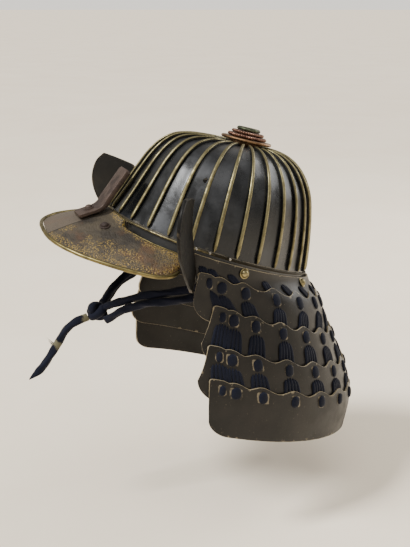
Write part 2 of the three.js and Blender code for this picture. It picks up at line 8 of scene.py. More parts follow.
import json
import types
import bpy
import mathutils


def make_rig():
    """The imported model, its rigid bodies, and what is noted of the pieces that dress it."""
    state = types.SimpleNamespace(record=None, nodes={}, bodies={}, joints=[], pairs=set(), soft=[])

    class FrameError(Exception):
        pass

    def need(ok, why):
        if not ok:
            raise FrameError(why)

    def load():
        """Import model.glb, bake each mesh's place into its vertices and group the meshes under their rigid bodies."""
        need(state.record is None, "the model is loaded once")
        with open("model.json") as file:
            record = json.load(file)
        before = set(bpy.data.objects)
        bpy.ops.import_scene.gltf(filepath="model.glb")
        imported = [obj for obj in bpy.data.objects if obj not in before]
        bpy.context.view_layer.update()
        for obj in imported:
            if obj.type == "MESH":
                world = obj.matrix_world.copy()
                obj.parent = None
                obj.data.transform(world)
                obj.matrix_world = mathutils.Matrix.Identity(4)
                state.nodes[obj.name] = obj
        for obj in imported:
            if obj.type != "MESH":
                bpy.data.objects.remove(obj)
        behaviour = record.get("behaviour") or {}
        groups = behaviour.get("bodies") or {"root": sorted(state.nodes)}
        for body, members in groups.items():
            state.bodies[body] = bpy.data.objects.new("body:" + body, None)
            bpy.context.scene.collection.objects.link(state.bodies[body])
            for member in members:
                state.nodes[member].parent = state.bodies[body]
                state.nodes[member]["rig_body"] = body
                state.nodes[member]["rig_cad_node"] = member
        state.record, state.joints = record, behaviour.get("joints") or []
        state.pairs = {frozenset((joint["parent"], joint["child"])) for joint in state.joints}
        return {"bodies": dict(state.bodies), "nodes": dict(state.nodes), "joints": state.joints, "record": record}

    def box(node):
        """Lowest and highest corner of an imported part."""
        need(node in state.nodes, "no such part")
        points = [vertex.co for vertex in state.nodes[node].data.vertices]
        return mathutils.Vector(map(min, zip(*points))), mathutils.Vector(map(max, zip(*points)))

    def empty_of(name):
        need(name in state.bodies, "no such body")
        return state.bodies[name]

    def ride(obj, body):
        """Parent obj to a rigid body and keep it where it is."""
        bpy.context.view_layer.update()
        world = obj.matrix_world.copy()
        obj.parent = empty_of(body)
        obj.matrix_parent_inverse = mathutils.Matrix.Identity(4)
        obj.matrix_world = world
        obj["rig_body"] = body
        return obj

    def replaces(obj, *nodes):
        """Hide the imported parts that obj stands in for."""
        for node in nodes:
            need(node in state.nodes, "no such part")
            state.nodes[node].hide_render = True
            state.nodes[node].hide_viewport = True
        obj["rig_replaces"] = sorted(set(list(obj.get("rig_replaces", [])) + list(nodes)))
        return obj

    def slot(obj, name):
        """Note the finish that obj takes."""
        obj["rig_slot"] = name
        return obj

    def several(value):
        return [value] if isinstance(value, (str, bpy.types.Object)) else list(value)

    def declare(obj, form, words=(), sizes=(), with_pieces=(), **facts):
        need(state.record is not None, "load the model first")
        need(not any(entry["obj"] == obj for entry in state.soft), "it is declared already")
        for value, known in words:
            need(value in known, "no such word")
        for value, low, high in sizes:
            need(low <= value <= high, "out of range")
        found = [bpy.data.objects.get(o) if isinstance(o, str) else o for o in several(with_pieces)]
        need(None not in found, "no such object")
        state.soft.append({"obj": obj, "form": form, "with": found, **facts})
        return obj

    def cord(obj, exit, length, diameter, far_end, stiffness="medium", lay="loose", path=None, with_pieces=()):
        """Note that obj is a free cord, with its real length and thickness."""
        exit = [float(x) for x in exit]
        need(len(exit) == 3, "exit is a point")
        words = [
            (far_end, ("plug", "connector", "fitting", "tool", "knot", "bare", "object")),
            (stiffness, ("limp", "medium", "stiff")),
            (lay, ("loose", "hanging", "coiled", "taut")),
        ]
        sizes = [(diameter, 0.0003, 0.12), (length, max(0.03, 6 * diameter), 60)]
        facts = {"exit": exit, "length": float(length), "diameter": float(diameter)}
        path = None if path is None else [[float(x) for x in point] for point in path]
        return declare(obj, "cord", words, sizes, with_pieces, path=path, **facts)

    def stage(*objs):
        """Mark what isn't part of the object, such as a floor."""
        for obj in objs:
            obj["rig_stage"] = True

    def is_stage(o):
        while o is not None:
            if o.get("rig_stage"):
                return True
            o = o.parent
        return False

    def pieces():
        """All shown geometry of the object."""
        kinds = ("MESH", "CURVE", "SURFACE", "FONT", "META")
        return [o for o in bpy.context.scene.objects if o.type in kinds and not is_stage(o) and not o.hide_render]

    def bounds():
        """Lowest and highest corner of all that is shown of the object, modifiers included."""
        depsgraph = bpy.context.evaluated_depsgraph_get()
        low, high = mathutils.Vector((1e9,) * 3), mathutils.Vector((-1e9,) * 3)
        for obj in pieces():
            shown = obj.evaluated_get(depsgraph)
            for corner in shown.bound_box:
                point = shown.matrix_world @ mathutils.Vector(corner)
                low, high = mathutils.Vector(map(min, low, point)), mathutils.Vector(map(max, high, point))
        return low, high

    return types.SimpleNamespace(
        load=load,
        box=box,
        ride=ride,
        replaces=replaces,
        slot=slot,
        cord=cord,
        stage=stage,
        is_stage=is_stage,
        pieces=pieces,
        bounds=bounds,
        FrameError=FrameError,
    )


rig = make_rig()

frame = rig.load()

import json
import logging
import math
from dataclasses import dataclass, field
from enum import Enum
from typing import Any, Optional, Sequence

import bmesh
import bpy
import numpy as np
from mathutils import Vector

Array = np.ndarray
Colour = tuple[float, float, float]
MM = 0.001
UP = np.array([0.0, 0.0, 1.0])
FAR = 99.0  # a distance in millimetres that no wear reaches
LOG = logging.getLogger("helmet")


# ---------------------------------------------------------------- numbers and curves


def smooth_table(keys: Sequence[float], values: Sequence[float], at: Array) -> Array:
    """Values of a table between its rows, on a cubic Hermite curve.

    Each row's slope is that of its neighbours, so the curve passes through every row.

    Args:
        keys: rising keys of the rows.
        values: the column that is wanted.
        at: keys to read at, held inside the table.

    Returns:
        The column's value at each key.
    """
    x, y = np.asarray(keys, float), np.asarray(values, float)
    slope = np.gradient(y, x)
    at = np.clip(at, x[0], x[-1])
    i = np.clip(np.searchsorted(x, at, side="right") - 1, 0, len(x) - 2)
    span = x[i + 1] - x[i]
    t = (at - x[i]) / span
    bend = t * t * (3 - 2 * t)
    pull = (t**3 - 2 * t**2 + t) * slope[i] + (t**3 - t**2) * slope[i + 1]
    return y[i] + (y[i + 1] - y[i]) * bend + span * pull


def mix(a: Any, b: Any, share: Any) -> Any:
    """Straight blend from a (share 0) to b (share 1)."""
    return a + (b - a) * share


def unit(vectors: Array) -> Array:
    """Vectors scaled to length one."""
    return vectors / np.maximum(np.linalg.norm(vectors, axis=-1, keepdims=True), 1e-12)


def round_ends(share: Array, power: float, least: float) -> Array:
    """Share of a strip's full width along it: a superellipse that closes at both ends."""
    return np.sqrt(np.clip(1 - np.abs(2 * share - 1) ** power, least, 1))


def boxy_ring(sides: int, power: float) -> tuple[Array, Array]:
    """A square with round corners, from -1 to 1: cosine and sine raised to a small power."""
    turn = np.linspace(0, 2 * math.pi, sides, endpoint=False)
    across, high = (np.sign(f(turn)) * np.abs(f(turn)) ** power for f in (np.cos, np.sin))
    return across, high


def stack(x: Any, y: Any, z: Any) -> Array:
    """Points from their three coordinates, broadcast together."""
    return np.stack(np.broadcast_arrays(x, y, z), axis=-1).astype(float)


def run_along(path: Array) -> Array:
    """Length along a path at each of its points: the running sum of its steps."""
    return np.concatenate([[0], np.cumsum(np.linalg.norm(np.diff(path, axis=0), axis=1))])


def smooth_path(points: Sequence[Sequence[float]], count: int) -> Array:
    """A smooth line through given points, at even steps of chord length.

    Args:
        points: the points, at least three.
        count: how many points to return.

    Returns:
        Array of shape (count, 3).
    """
    laid = np.asarray(points, float)
    run = run_along(laid)
    at = np.linspace(0, run[-1], count)
    return np.stack([smooth_table(run, laid[:, axis], at) for axis in range(3)], axis=-1)


def surface_normals(grid: Array, loop: bool = False) -> Array:
    """Unit normals of a grid: the cross product of its column step and its row step."""
    rows = np.gradient(grid, axis=0)
    if loop:
        across = np.roll(grid, -1, axis=1) - np.roll(grid, 1, axis=1)
    else:
        across = np.gradient(grid, axis=1)
    return unit(np.cross(across, rows))


def edge_distance(grid: Array, loop: bool = False) -> Array:
    """Distance of each grid point from the grid's nearest free edge, measured on the grid.

    Lengths are summed along rows and columns from both ends, and the least one counts.
    """

    def both_ways(axis: int) -> Array:
        steps = np.linalg.norm(np.diff(grid, axis=axis), axis=-1)
        run = np.insert(np.cumsum(steps, axis=axis), 0, 0, axis=axis)
        return np.minimum(run, run.take([-1], axis=axis) - run)

    return both_ways(0) if loop else np.minimum(both_ways(0), both_ways(1))


# ---------------------------------------------------------------- meshes


class Mesh:
    """Faces gathered for one piece. Grids, plates and tubes join into one closed mesh each."""

    def __init__(self) -> None:
        """Start empty."""
        self.points: list[Array] = []
        self.faces: list[Array] = []
        self.corners: list[Array] = []
        self.layers: dict[str, list[Array]] = {"rim": [], "mark": []}
        self.size = 0

    def add(
        self, points: Array, faces: Array, corners: Array,
        rim: Optional[Array] = None, mark: Optional[Array] = None,
    ) -> None:
        """Add faces over new points.

        Args:
            points: points of shape (n, 3).
            faces: quads of shape (m, 4), counted from the first of these points.
            corners: UV of every corner, of shape (m, 4, 2), in millimetres.
            rim: distance of each point from a free edge, for wear.
            mark: a second distance that a finish may read.
        """
        count = len(points)
        self.points.append(points)
        self.faces.append(faces + self.size)
        self.corners.append(corners)
        for name, values in (("rim", rim), ("mark", mark)):
            full = np.full(count, FAR) if values is None else values.reshape(count)
            self.layers[name].append(full)
        self.size += count

    @staticmethod
    def cells(rows: int, columns: int, loop: bool) -> tuple[Array, Array]:
        """Corner rows and columns of a grid's quads, each of shape (m, 4)."""
        r, c = np.meshgrid(
            np.arange(rows - 1), np.arange(columns if loop else columns - 1), indexing="ij"
        )
        r, c = r.reshape(-1, 1), c.reshape(-1, 1)
        return np.hstack([r, r, r + 1, r + 1]), np.hstack([c, c + 1, c + 1, c])

    @staticmethod
    def cap(ring: Array) -> Array:
        """Quads straight across a ring of corners; their count is even."""
        half, sides = np.arange(len(ring) // 2 - 1), len(ring)
        return ring[np.stack([half, sides - 1 - half, sides - 2 - half, half + 1], axis=-1)]

    def add_plate(
        self, outer: Array, inner: Array, loop: bool = False, mark: Optional[Array] = None,
        rim: Optional[Array] = None, domed: bool = False,
    ) -> None:
        """Add a closed plate between two matching grids of points.

        The outer and inner faces are the grids' quads; strips join their rows and, without
        loop, their ends. A domed plate has no strip at its last row: each face is closed there
        by quads across the ring.

        Args:
            outer: grid of shape (rows, columns, 3).
            inner: the matching grid of the back.
            loop: whether the last column joins the first one.
            mark: a distance for each grid point.
            rim: distance of each grid point from a free edge, where the grid's own won't do.
            domed: whether the last row is the crown of a dome.
        """
        rows, columns = outer.shape[:2]
        back = rows * columns
        r, c = self.cells(rows, columns, loop)
        front = r * columns + c % columns
        size = np.linalg.norm(np.diff(outer, axis=1), axis=-1).mean()
        lift = np.linalg.norm(np.diff(outer, axis=0), axis=-1).mean()
        uv = np.stack([c * size, r * lift], axis=-1)
        faces, corners = [front, back + front[:, ::-1]], [uv, uv[:, ::-1]]
        place = np.arange(rows * columns).reshape(rows, columns)
        edges = [(place[0], 1)] if domed else [(place[0], 1), (place[-1], -1)]
        if not loop:
            edges += [(place[:, 0], -1), (place[:, -1], 1)]
        for line, way in edges:
            a, b = (line, np.roll(line, -1)) if loop else (line[:-1], line[1:])
            strip = np.stack([b, a, back + a, back + b], axis=-1)
            faces.append(strip[:, ::way])
        if domed:
            crown = self.cap(place[-1])
            faces += [crown[:, ::-1], back + crown]
        flat = sum(len(part) for part in faces[2:])
        corners.append(np.zeros((flat, 4, 2)))
        near = edge_distance(outer, loop) / MM if rim is None else rim
        both = None if mark is None else np.tile(mark.reshape(-1), 2)
        points = np.concatenate([outer.reshape(-1, 3), inner.reshape(-1, 3)])
        sides = np.tile(near.reshape(-1), 2)
        self.add(points, np.concatenate(faces), np.concatenate(corners), sides, both)

    def add_tubes(self, rings: Array, loop: bool = False, mark: Optional[Array] = None) -> None:
        """Add tubes whose rings are given; open ends are closed by quads across the ring.

        Args:
            rings: points of shape (tubes, rings, sides, 3); sides is even.
            loop: whether each tube's last ring joins its first one.
            mark: a value for each ring, of shape (tubes, rings).
        """
        tubes, count, sides = rings.shape[:3]
        r, c = self.cells(count + 1 if loop else count, sides, True)
        faces = (r % count) * sides + c % sides
        along = np.linalg.norm(np.diff(rings.mean(axis=2), axis=1), axis=-1).mean()
        round_ = np.linalg.norm(np.diff(rings, axis=2), axis=-1).mean()
        corners = np.stack([c * round_, r * along], axis=-1)
        if not loop:
            cap = self.cap(np.arange(sides))
            last = (count - 1) * sides
            faces = np.concatenate([faces, cap, last + cap[:, ::-1]])
            corners = np.concatenate([corners, np.zeros((2 * len(cap), 4, 2))])
        step = np.arange(tubes) * count * sides
        all_faces = (faces[None] + step[:, None, None]).reshape(-1, 4)
        marks = None if mark is None else np.repeat(mark.reshape(-1), sides)
        self.add(rings.reshape(-1, 3), all_faces, np.tile(corners, (tubes, 1, 1)), None, marks)

    def add_tube(
        self, path: Array, out: Array, width: Any, height: Any,
        sides: int = 12, loop: bool = False,
    ) -> None:
        """Carry an ellipse along a path.

        A ring is the path point plus width cos(turn) sideways plus height sin(turn) outwards.

        Args:
            path: points of shape (n, 3).
            out: the outward direction at each point, made square to the path.
            width: half width, one value or one for each point.
            height: half height, likewise.
            sides: sides of the section.
            loop: whether the path closes on itself.
        """
        if loop:
            along = unit(np.roll(path, -1, axis=0) - np.roll(path, 1, axis=0))
        else:
            along = unit(np.gradient(path, axis=0))
        side = unit(np.cross(along, out))
        up = np.cross(side, along)
        turn = np.linspace(0, 2 * math.pi, sides, endpoint=False)[None, :, None]
        wide = np.broadcast_to(np.asarray(width, float), len(path))[:, None, None]
        high = np.broadcast_to(np.asarray(height, float), len(path))[:, None, None]
        rings = path[:, None] + side[:, None] * wide * np.cos(turn)
        rings = rings + up[:, None] * high * np.sin(turn)
        self.add_tubes(rings[None], loop)

    def add_lathe(self, profile: Sequence[Sequence[float]], place: "Seat", sides: int) -> None:
        """Turn a profile about a seat's normal.

        Args:
            profile: [radius, height] rows from the foot up; the ends lie on the axis.
            place: where it stands.
            sides: sides of the turning.
        """
        rows = np.asarray(profile, float)
        turn = np.linspace(0, 2 * math.pi, sides, endpoint=False)
        ring = np.cos(turn)[:, None] * place.side + np.sin(turn)[:, None] * place.ahead
        radius = np.maximum(rows[:, 0], 0.02 * MM)[:, None, None]
        rings = place.point + radius * ring[None] + rows[:, 1][:, None, None] * place.normal
        self.add_tubes(rings[None])

    def build(self, name: str, sharp: float = 38.0) -> bpy.types.Object:
        """Make the Blender object, its place in its mesh.

        Args:
            name: the piece's name.
            sharp: edges steeper than this angle in degrees stay sharp.

        Returns:
            The object, linked to the scene.
        """
        data = bpy.data.meshes.new(name)
        faces = np.concatenate(self.faces)
        data.from_pydata(np.concatenate(self.points).tolist(), [], faces.tolist())
        uv = data.uv_layers.new(name="UVMap")
        uv.data.foreach_set("uv", np.concatenate(self.corners).astype(np.float32).ravel())
        for layer, values in self.layers.items():
            attribute = data.attributes.new(layer, "FLOAT", "POINT")
            attribute.data.foreach_set("value", np.concatenate(values).astype(np.float32))
        work = bmesh.new()
        work.from_mesh(data)
        bmesh.ops.recalc_face_normals(work, faces=work.faces)
        work.to_mesh(data)
        work.free()
        data.polygons.foreach_set("use_smooth", np.ones(len(data.polygons), bool))
        data.set_sharp_from_angle(angle=math.radians(sharp))
        data.validate()
        piece = bpy.data.objects.new(name, data)
        bpy.context.scene.collection.objects.link(piece)
        return piece


@dataclass(frozen=True)
class Seat:
    """A spot on a surface with its own axes."""

    point: Array
    normal: Array

    @property
    def side(self) -> Array:
        """A direction along the surface."""
        return unit(np.cross(self.normal, np.array([0.31, 0.12, 0.94])))

    @property
    def ahead(self) -> Array:
        """The surface direction square to side."""
        return np.cross(self.normal, self.side)


@dataclass(frozen=True)
class HelmetPose:
    """How the helmet's own frame lies in the row frame: tipped back about the seat."""

    lean: float = math.radians(14.2)
    seat_height: float = 110.8

    def place(self, points: Array) -> Array:
        """Helmet points in millimetres, carried into the row frame in metres.

        The seat goes to the origin, and y and z turn by the lean about X.
        """
        y, z = points[..., 1], points[..., 2] - self.seat_height
        c, s = math.cos(self.lean), math.sin(self.lean)
        return MM * stack(points[..., 0], y * c + z * s, z * c - y * s)

    def turn(self, directions: Array) -> Array:
        """Helmet directions, turned into the row frame and scaled to length one."""
        return unit(self.place(directions) - self.place(np.zeros(3)))


POSE = HelmetPose()


class Slot(Enum):
    """Material slots of the record."""

    BOWL = "bowl_iron"
    RIB = "rib_brass"
    BAND = "band_lacquer"
    PEAK = "peak_gilt"
    RUSSET = "russet_iron"
    LAME = "lame_lacquer"
    FLAP = "flap_lacquer"
    STUD = "stud_brass"
    FINIAL_GILT = "finial_gilt"
    FINIAL_COPPER = "finial_copper"
    FINIAL_BRONZE = "finial_bronze"
    CORD = "cord_cloth"


# ---------------------------------------------------------------- finishes


def tint(code: str) -> Colour:
    """Linear colour of a web colour such as 2b2b2a."""
    parts = [int(code[i:i + 2], 16) / 255 for i in (0, 2, 4)]
    red, green, blue = [c / 12.92 if c <= 0.04045 else ((c + 0.055) / 1.055) ** 2.4 for c in parts]
    return red, green, blue


class Graph:
    """Short hand for a node tree."""

    def __init__(self, tree: bpy.types.NodeTree) -> None:
        """Work on a tree."""
        self.tree = tree

    def add(self, kind: str, inputs: dict[Any, Any], **settings: Any) -> bpy.types.Node:
        """Add a node.

        Args:
            kind: the node's type after ShaderNode.
            inputs: value or socket for each named or numbered input.
            settings: properties of the node.

        Returns:
            The node.
        """
        node = self.tree.nodes.new("ShaderNode" + kind)
        for key, value in settings.items():
            setattr(node, key, value)
        for key, value in inputs.items():
            if isinstance(value, bpy.types.NodeSocket):
                self.tree.links.new(value, node.inputs[key])
            else:
                node.inputs[key].default_value = value
        return node

    def math(self, operation: str, a: Any, b: Any = 0.0) -> bpy.types.NodeSocket:
        """One Math node's result."""
        return self.add("Math", {0: a, 1: b}, operation=operation).outputs[0]

    def ramp(
        self, value: Any, low: Any, high: Any, start: float = 0.0, end: float = 1.0
    ) -> bpy.types.NodeSocket:
        """Value carried from low..high to start..end on a smooth step, and held there."""
        inputs = {0: value, 1: low, 2: high, 3: start, 4: end}
        return self.add("MapRange", inputs, interpolation_type="SMOOTHSTEP").outputs[0]

    def blend(self, share: Any, a: Any, b: Any, how: str = "MIX") -> bpy.types.NodeSocket:
        """Blend of two colours."""
        pair = [c if isinstance(c, bpy.types.NodeSocket) else (*c, 1.0) for c in (a, b)]
        inputs = {0: share, 6: pair[0], 7: pair[1]}
        return self.add("Mix", inputs, data_type="RGBA", blend_type=how).outputs[2]

    def noise(self, vector: Any, scale: Any, detail: float = 4.0) -> bpy.types.NodeSocket:
        """Fractal noise from 0 to 1."""
        inputs = {"Vector": vector, "Scale": scale, "Detail": detail, "Roughness": 0.6}
        return self.add("TexNoise", inputs).outputs[0]

    def object_point(self) -> bpy.types.NodeSocket:
        """Object coordinates, in metres."""
        return self.add("TexCoord", {}).outputs["Object"]

    def uv(self) -> bpy.types.NodeSocket:
        """The piece's own UV map, in millimetres."""
        return self.add("UVMap", {}, uv_map="UVMap").outputs[0]

    def layer(self, name: str) -> bpy.types.NodeSocket:
        """A distance kept on the mesh, in millimetres."""
        return self.add("Attribute", {}, attribute_name=name).outputs["Fac"]


class Effects:
    """Shader groups that several finishes share, each built once."""

    def __init__(self) -> None:
        """Build every group."""
        self.groups = {
            "clouds": self.make("clouds", ("Scale", "Low", "High"), self.clouds),
            "wear": self.make("wear", ("Distance", "Reach", "Scale"), self.wear),
            "grain": self.make("grain", ("Scale", "Pits"), self.grain),
            "braid": self.make("braid", ("Pitch", "Slant"), self.braid),
        }

    @staticmethod
    def make(name: str, values: Sequence[str], body: Any) -> bpy.types.NodeTree:
        """A group with a Vector input, some values, and one output named Mask.

        Args:
            name: the group's name.
            values: names of its number inputs.
            body: function of (graph, group input) that returns the mask's socket.

        Returns:
            The group's tree.
        """
        tree = bpy.data.node_groups.new(name, "ShaderNodeTree")
        tree.interface.new_socket("Vector", in_out="INPUT", socket_type="NodeSocketVector")
        for value in values:
            tree.interface.new_socket(value, in_out="INPUT", socket_type="NodeSocketFloat")
        tree.interface.new_socket("Mask", in_out="OUTPUT", socket_type="NodeSocketFloat")
        graph = Graph(tree)
        entry = tree.nodes.new("NodeGroupInput").outputs
        tree.links.new(body(graph, entry), tree.nodes.new("NodeGroupOutput").inputs[0])
        return tree

    @staticmethod
    def clouds(graph: Graph, entry: Any) -> bpy.types.NodeSocket:
        """Soft blotches: fractal noise, cut between Low and High."""
        cloud = graph.noise(entry["Vector"], entry["Scale"], 6.0)
        return graph.ramp(cloud, entry["Low"], entry["High"])

    @staticmethod
    def wear(graph: Graph, entry: Any) -> bpy.types.NodeSocket:
        """Wear near an edge: noise less the distance over the reach, sharpened."""
        ragged = graph.math("MULTIPLY", graph.noise(entry["Vector"], entry["Scale"], 5.0), 2.0)
        far = graph.math("DIVIDE", entry["Distance"], entry["Reach"])
        return graph.ramp(graph.math("SUBTRACT", ragged, far), 0.15, 0.6)

    @staticmethod
    def grain(graph: Graph, entry: Any) -> bpy.types.NodeSocket:
        """Fine roughness with pits: noise less a share of rounded cells."""
        fine = graph.noise(entry["Vector"], entry["Scale"], 8.0)
        inputs = {"Vector": entry["Vector"], "Scale": entry["Scale"]}
        cells = graph.add("TexVoronoi", inputs, feature="F1").outputs["Distance"]
        pits = graph.ramp(cells, 0.0, 0.35, 1.0, 0.0)
        return graph.math("SUBTRACT", fine, graph.math("MULTIPLY", pits, entry["Pits"]))

    @staticmethod
    def braid(graph: Graph, entry: Any) -> bpy.types.NodeSocket:
        """Plaited thread: the product of two rows of slanted rounded ridges."""
        parts = graph.add("SeparateXYZ", {0: entry["Vector"]}).outputs
        lean = graph.math("MULTIPLY", parts[0], entry["Slant"])

        def ridge(way: str) -> bpy.types.NodeSocket:
            """Ridges along one slant."""
            line = graph.math("DIVIDE", graph.math(way, parts[1], lean), entry["Pitch"])
            return graph.math("ABSOLUTE", graph.math("SINE", graph.math("MULTIPLY", line, math.pi)))

        return graph.math("MAXIMUM", ridge("ADD"), ridge("SUBTRACT"))

    def use(self, graph: Graph, name: str, vector: Any, **values: Any) -> bpy.types.NodeSocket:
        """Place a group in a material.

        Args:
            graph: the material's graph.
            name: the group's name.
            vector: coordinates it reads.
            values: its number inputs.

        Returns:
            Its mask.
        """
        inputs = {"Vector": vector, **values}
        return graph.add("Group", inputs, node_tree=self.groups[name]).outputs["Mask"]


EFFECTS = Effects()


@dataclass(frozen=True)
class Finish:
    """What every finish has: a name and the steady values of its shader."""

    name: str
    metallic: float = 0.0
    coat: float = 0.0
    specular: float = 0.5
    sheen: float = 0.0
    bump: float = 0.3
    relief: float = 0.0004

    def look(self, graph: Graph) -> tuple[Any, Any, Any]:
        """Colour, roughness and height sockets; each kind of finish has its own."""
        raise NotImplementedError

    def material(self) -> bpy.types.Material:
        """The finish as a material, built on first use."""
        name = f"{self.name}_finish"
        known = bpy.data.materials.get(name)
        if known is not None:
            return known
        made = bpy.data.materials.new(name)
        made.use_nodes = True
        graph = Graph(made.node_tree)
        shader = made.node_tree.nodes["Principled BSDF"]
        steady = {
            "Metallic": self.metallic, "Coat Weight": self.coat, "Coat Roughness": 0.25,
            "Specular IOR Level": self.specular, "Sheen Weight": self.sheen,
            "Sheen Roughness": 0.5,
        }
        for key, value in steady.items():
            shader.inputs[key].default_value = value
        colour, roughness, height = self.look(graph)
        inputs = {"Strength": self.bump, "Distance": self.relief, "Height": height}
        bump = graph.add("Bump", inputs)
        for key, socket in (
            ("Base Color", colour), ("Roughness", roughness), ("Normal", bump.outputs[0])
        ):
            graph.tree.links.new(socket, shader.inputs[key])
        return made


@dataclass(frozen=True)
class LacquerFinish(Finish):
    """Lacquer or polished iron: cloudy tone, rubbed edges, dust and fine pits."""

    base: str = "1c1c1e"
    cloud: str = "3a3a3a"
    worn: str = "8b8068"
    gloss: tuple[float, float] = (0.28, 0.5)
    cloud_scale: float = 22.0
    wear_reach: float = 2.0
    mark_reach: float = 0.0
    chip_reach: float = 4.0

    def look(self, graph: Graph) -> tuple[Any, Any, Any]:
        """Two tones by clouds, rubbed colour by distance from the edges."""
        point = graph.object_point()
        cloud = EFFECTS.use(
            graph, "clouds", point, Scale=self.cloud_scale, Low=0.38, High=0.68
        )
        fleck = EFFECTS.use(graph, "clouds", point, Scale=420.0, Low=0.64, High=0.74)
        colour = graph.blend(cloud, tint(self.base), tint(self.cloud))
        soft = graph.math("MULTIPLY", fleck, 0.35)
        colour = graph.blend(soft, colour, tint(self.worn))
        wear = EFFECTS.use(
            graph, "wear", point, Distance=graph.layer("rim"), Reach=self.wear_reach, Scale=160.0
        )
        if self.mark_reach:
            ring = EFFECTS.use(
                graph, "wear", point, Distance=graph.layer("mark"), Reach=self.mark_reach,
                Scale=230.0,
            )
            gaps = EFFECTS.use(graph, "clouds", point, Scale=75.0, Low=0.4, High=0.56)
            ring = graph.math("MULTIPLY", ring, graph.math("MULTIPLY", gaps, 0.75))
            wear = graph.math("MAXIMUM", wear, ring)
        chip = EFFECTS.use(graph, "clouds", point, Scale=150.0, Low=0.6, High=0.64)
        near = graph.ramp(graph.layer("rim"), 0.0, self.chip_reach, 0.9, 0.0)
        wear = graph.math("MAXIMUM", wear, graph.math("MULTIPLY", chip, near))
        colour = graph.blend(wear, colour, tint(self.worn))
        rough = graph.ramp(graph.noise(point, 34.0, 6.0), 0.3, 0.7, *self.gloss)
        grain = EFFECTS.use(graph, "grain", point, Scale=240.0, Pits=0.25)
        height = graph.math("SUBTRACT", grain, graph.math("MULTIPLY", wear, 0.8))
        return colour, rough, height


@dataclass(frozen=True)
class MetalFinish(Finish):
    """Aged metal: bright where it is rubbed, dark patina in the rest, fine scratches."""

    bright: str = "a8975a"
    patina: str = "5c5230"
    gloss: tuple[float, float] = (0.32, 0.55)
    cut: tuple[float, float] = (0.36, 0.66)
    scale: float = 90.0
    metallic: float = 1.0
    # Y in metres behind which the metal is drawn in its dark tone; 9 m lies beyond every piece.
    dark_behind_y: float = 9.0

    def look(self, graph: Graph) -> tuple[Any, Any, Any]:
        """Two tones by clouds at two scales, with a rougher patina, and the dark tone throughout behind a line across
        Y.
        """
        point = graph.object_point()
        low, high = self.cut
        broad = EFFECTS.use(graph, "clouds", point, Scale=self.scale, Low=low, High=high)
        fine = EFFECTS.use(graph, "clouds", point, Scale=900.0, Low=0.5, High=0.72)
        dull = graph.math("MAXIMUM", broad, graph.math("MULTIPLY", fine, 0.6))
        # Darker behind a line across Y, in metres: from there back the metal takes its dark tone and roughness.
        back = graph.add("SeparateXYZ", {0: point}).outputs[1]
        back = graph.ramp(back, self.dark_behind_y - 0.02, self.dark_behind_y + 0.02)
        dull = graph.math("MAXIMUM", dull, back)
        colour = graph.blend(dull, tint(self.bright), tint(self.patina))
        rough = graph.ramp(dull, 0.0, 1.0, *self.gloss)
        return colour, rough, EFFECTS.use(graph, "grain", point, Scale=500.0, Pits=0.3)


@dataclass(frozen=True)
class GiltFinish(Finish):
    """Corroded gilt: grey-brown ground, gold that holds out in flecks and round dark cells.

    Beyond a dark grooved line along X, at the crest holder's edge, the peak is greyer with less gold, and gold grows
    towards the peak's rear ends.
    """

    ground: str = "433b2e"
    grey: str = "5a5045"
    rust: str = "50351f"
    gold: str = "8f7638"
    dark: str = "231d16"
    # X in millimetres of a dark grooved line along the peak, at the crest holder's edge.
    seam: float = 13.0

    def look(self, graph: Graph) -> tuple[Any, Any, Any]:
        """Layers of the surface, from the ground up."""
        point = graph.object_point()
        x, y, _ = graph.add("SeparateXYZ", {0: point}).outputs
        # Distance from the dark line; beyond it, towards -X, the peak turns greyer and keeps less gold.
        seam = graph.math("SUBTRACT", x, self.seam * MM)
        far = graph.ramp(seam, -0.0004, 0.0004, 1.0, 0.0)
        blotch = EFFECTS.use(graph, "clouds", point, Scale=38.0, Low=0.35, High=0.65)
        colour = graph.blend(blotch, tint(self.ground), tint(self.dark))
        stain = EFFECTS.use(graph, "clouds", point, Scale=26.0, Low=0.5, High=0.68)
        colour = graph.blend(graph.math("MULTIPLY", stain, 0.75), colour, tint(self.rust))
        inputs = {"Vector": point, "Scale": 400.0, "Randomness": 0.9}
        edge = graph.add("TexVoronoi", inputs, feature="DISTANCE_TO_EDGE").outputs["Distance"]
        web = graph.ramp(edge, 0.03, 0.16, 1.0, 0.0)
        rear = graph.ramp(y, -0.155, -0.085, 0.0, 1.0)
        patch = EFFECTS.use(graph, "clouds", point, Scale=34.0, Low=0.5, High=0.62)
        rim = EFFECTS.use(
            graph, "wear", point, Distance=graph.layer("rim"), Reach=13.0, Scale=70.0
        )
        held = graph.math("MAXIMUM", graph.math("MULTIPLY", patch, 0.8), rim)
        speck = EFFECTS.use(graph, "clouds", point, Scale=620.0, Low=0.5, High=0.6)
        gold = graph.math("MULTIPLY", held, speck)
        gold = graph.math("MAXIMUM", gold, graph.math("MULTIPLY", web, rear))
        gold = graph.math("MULTIPLY", gold, graph.ramp(far, 0.0, 1.0, 0.9, 0.15))
        colour = graph.blend(gold, colour, tint(self.gold))
        pit = graph.ramp(edge, 0.2, 0.45, 0.0, 0.8)
        colour = graph.blend(graph.math("MULTIPLY", pit, rear), colour, tint(self.dark))
        colour = graph.blend(graph.math("MULTIPLY", far, 0.7), colour, tint(self.grey))
        # The dark line itself: a thin near-black stripe at X = 13 mm, also cut as a groove into the height.
        line = graph.ramp(graph.math("ABSOLUTE", seam), 0.0003, 0.0008, 1.0, 0.0)
        colour = graph.blend(line, colour, tint("14100d"))
        rough = graph.ramp(gold, 0.0, 1.0, 0.66, 0.4)
        grain = EFFECTS.use(graph, "grain", point, Scale=330.0, Pits=0.6)
        height = graph.math("ADD", grain, graph.math("MULTIPLY", web, rear))
        return colour, rough, graph.math("SUBTRACT", height, graph.math("MULTIPLY", line, 3.0))


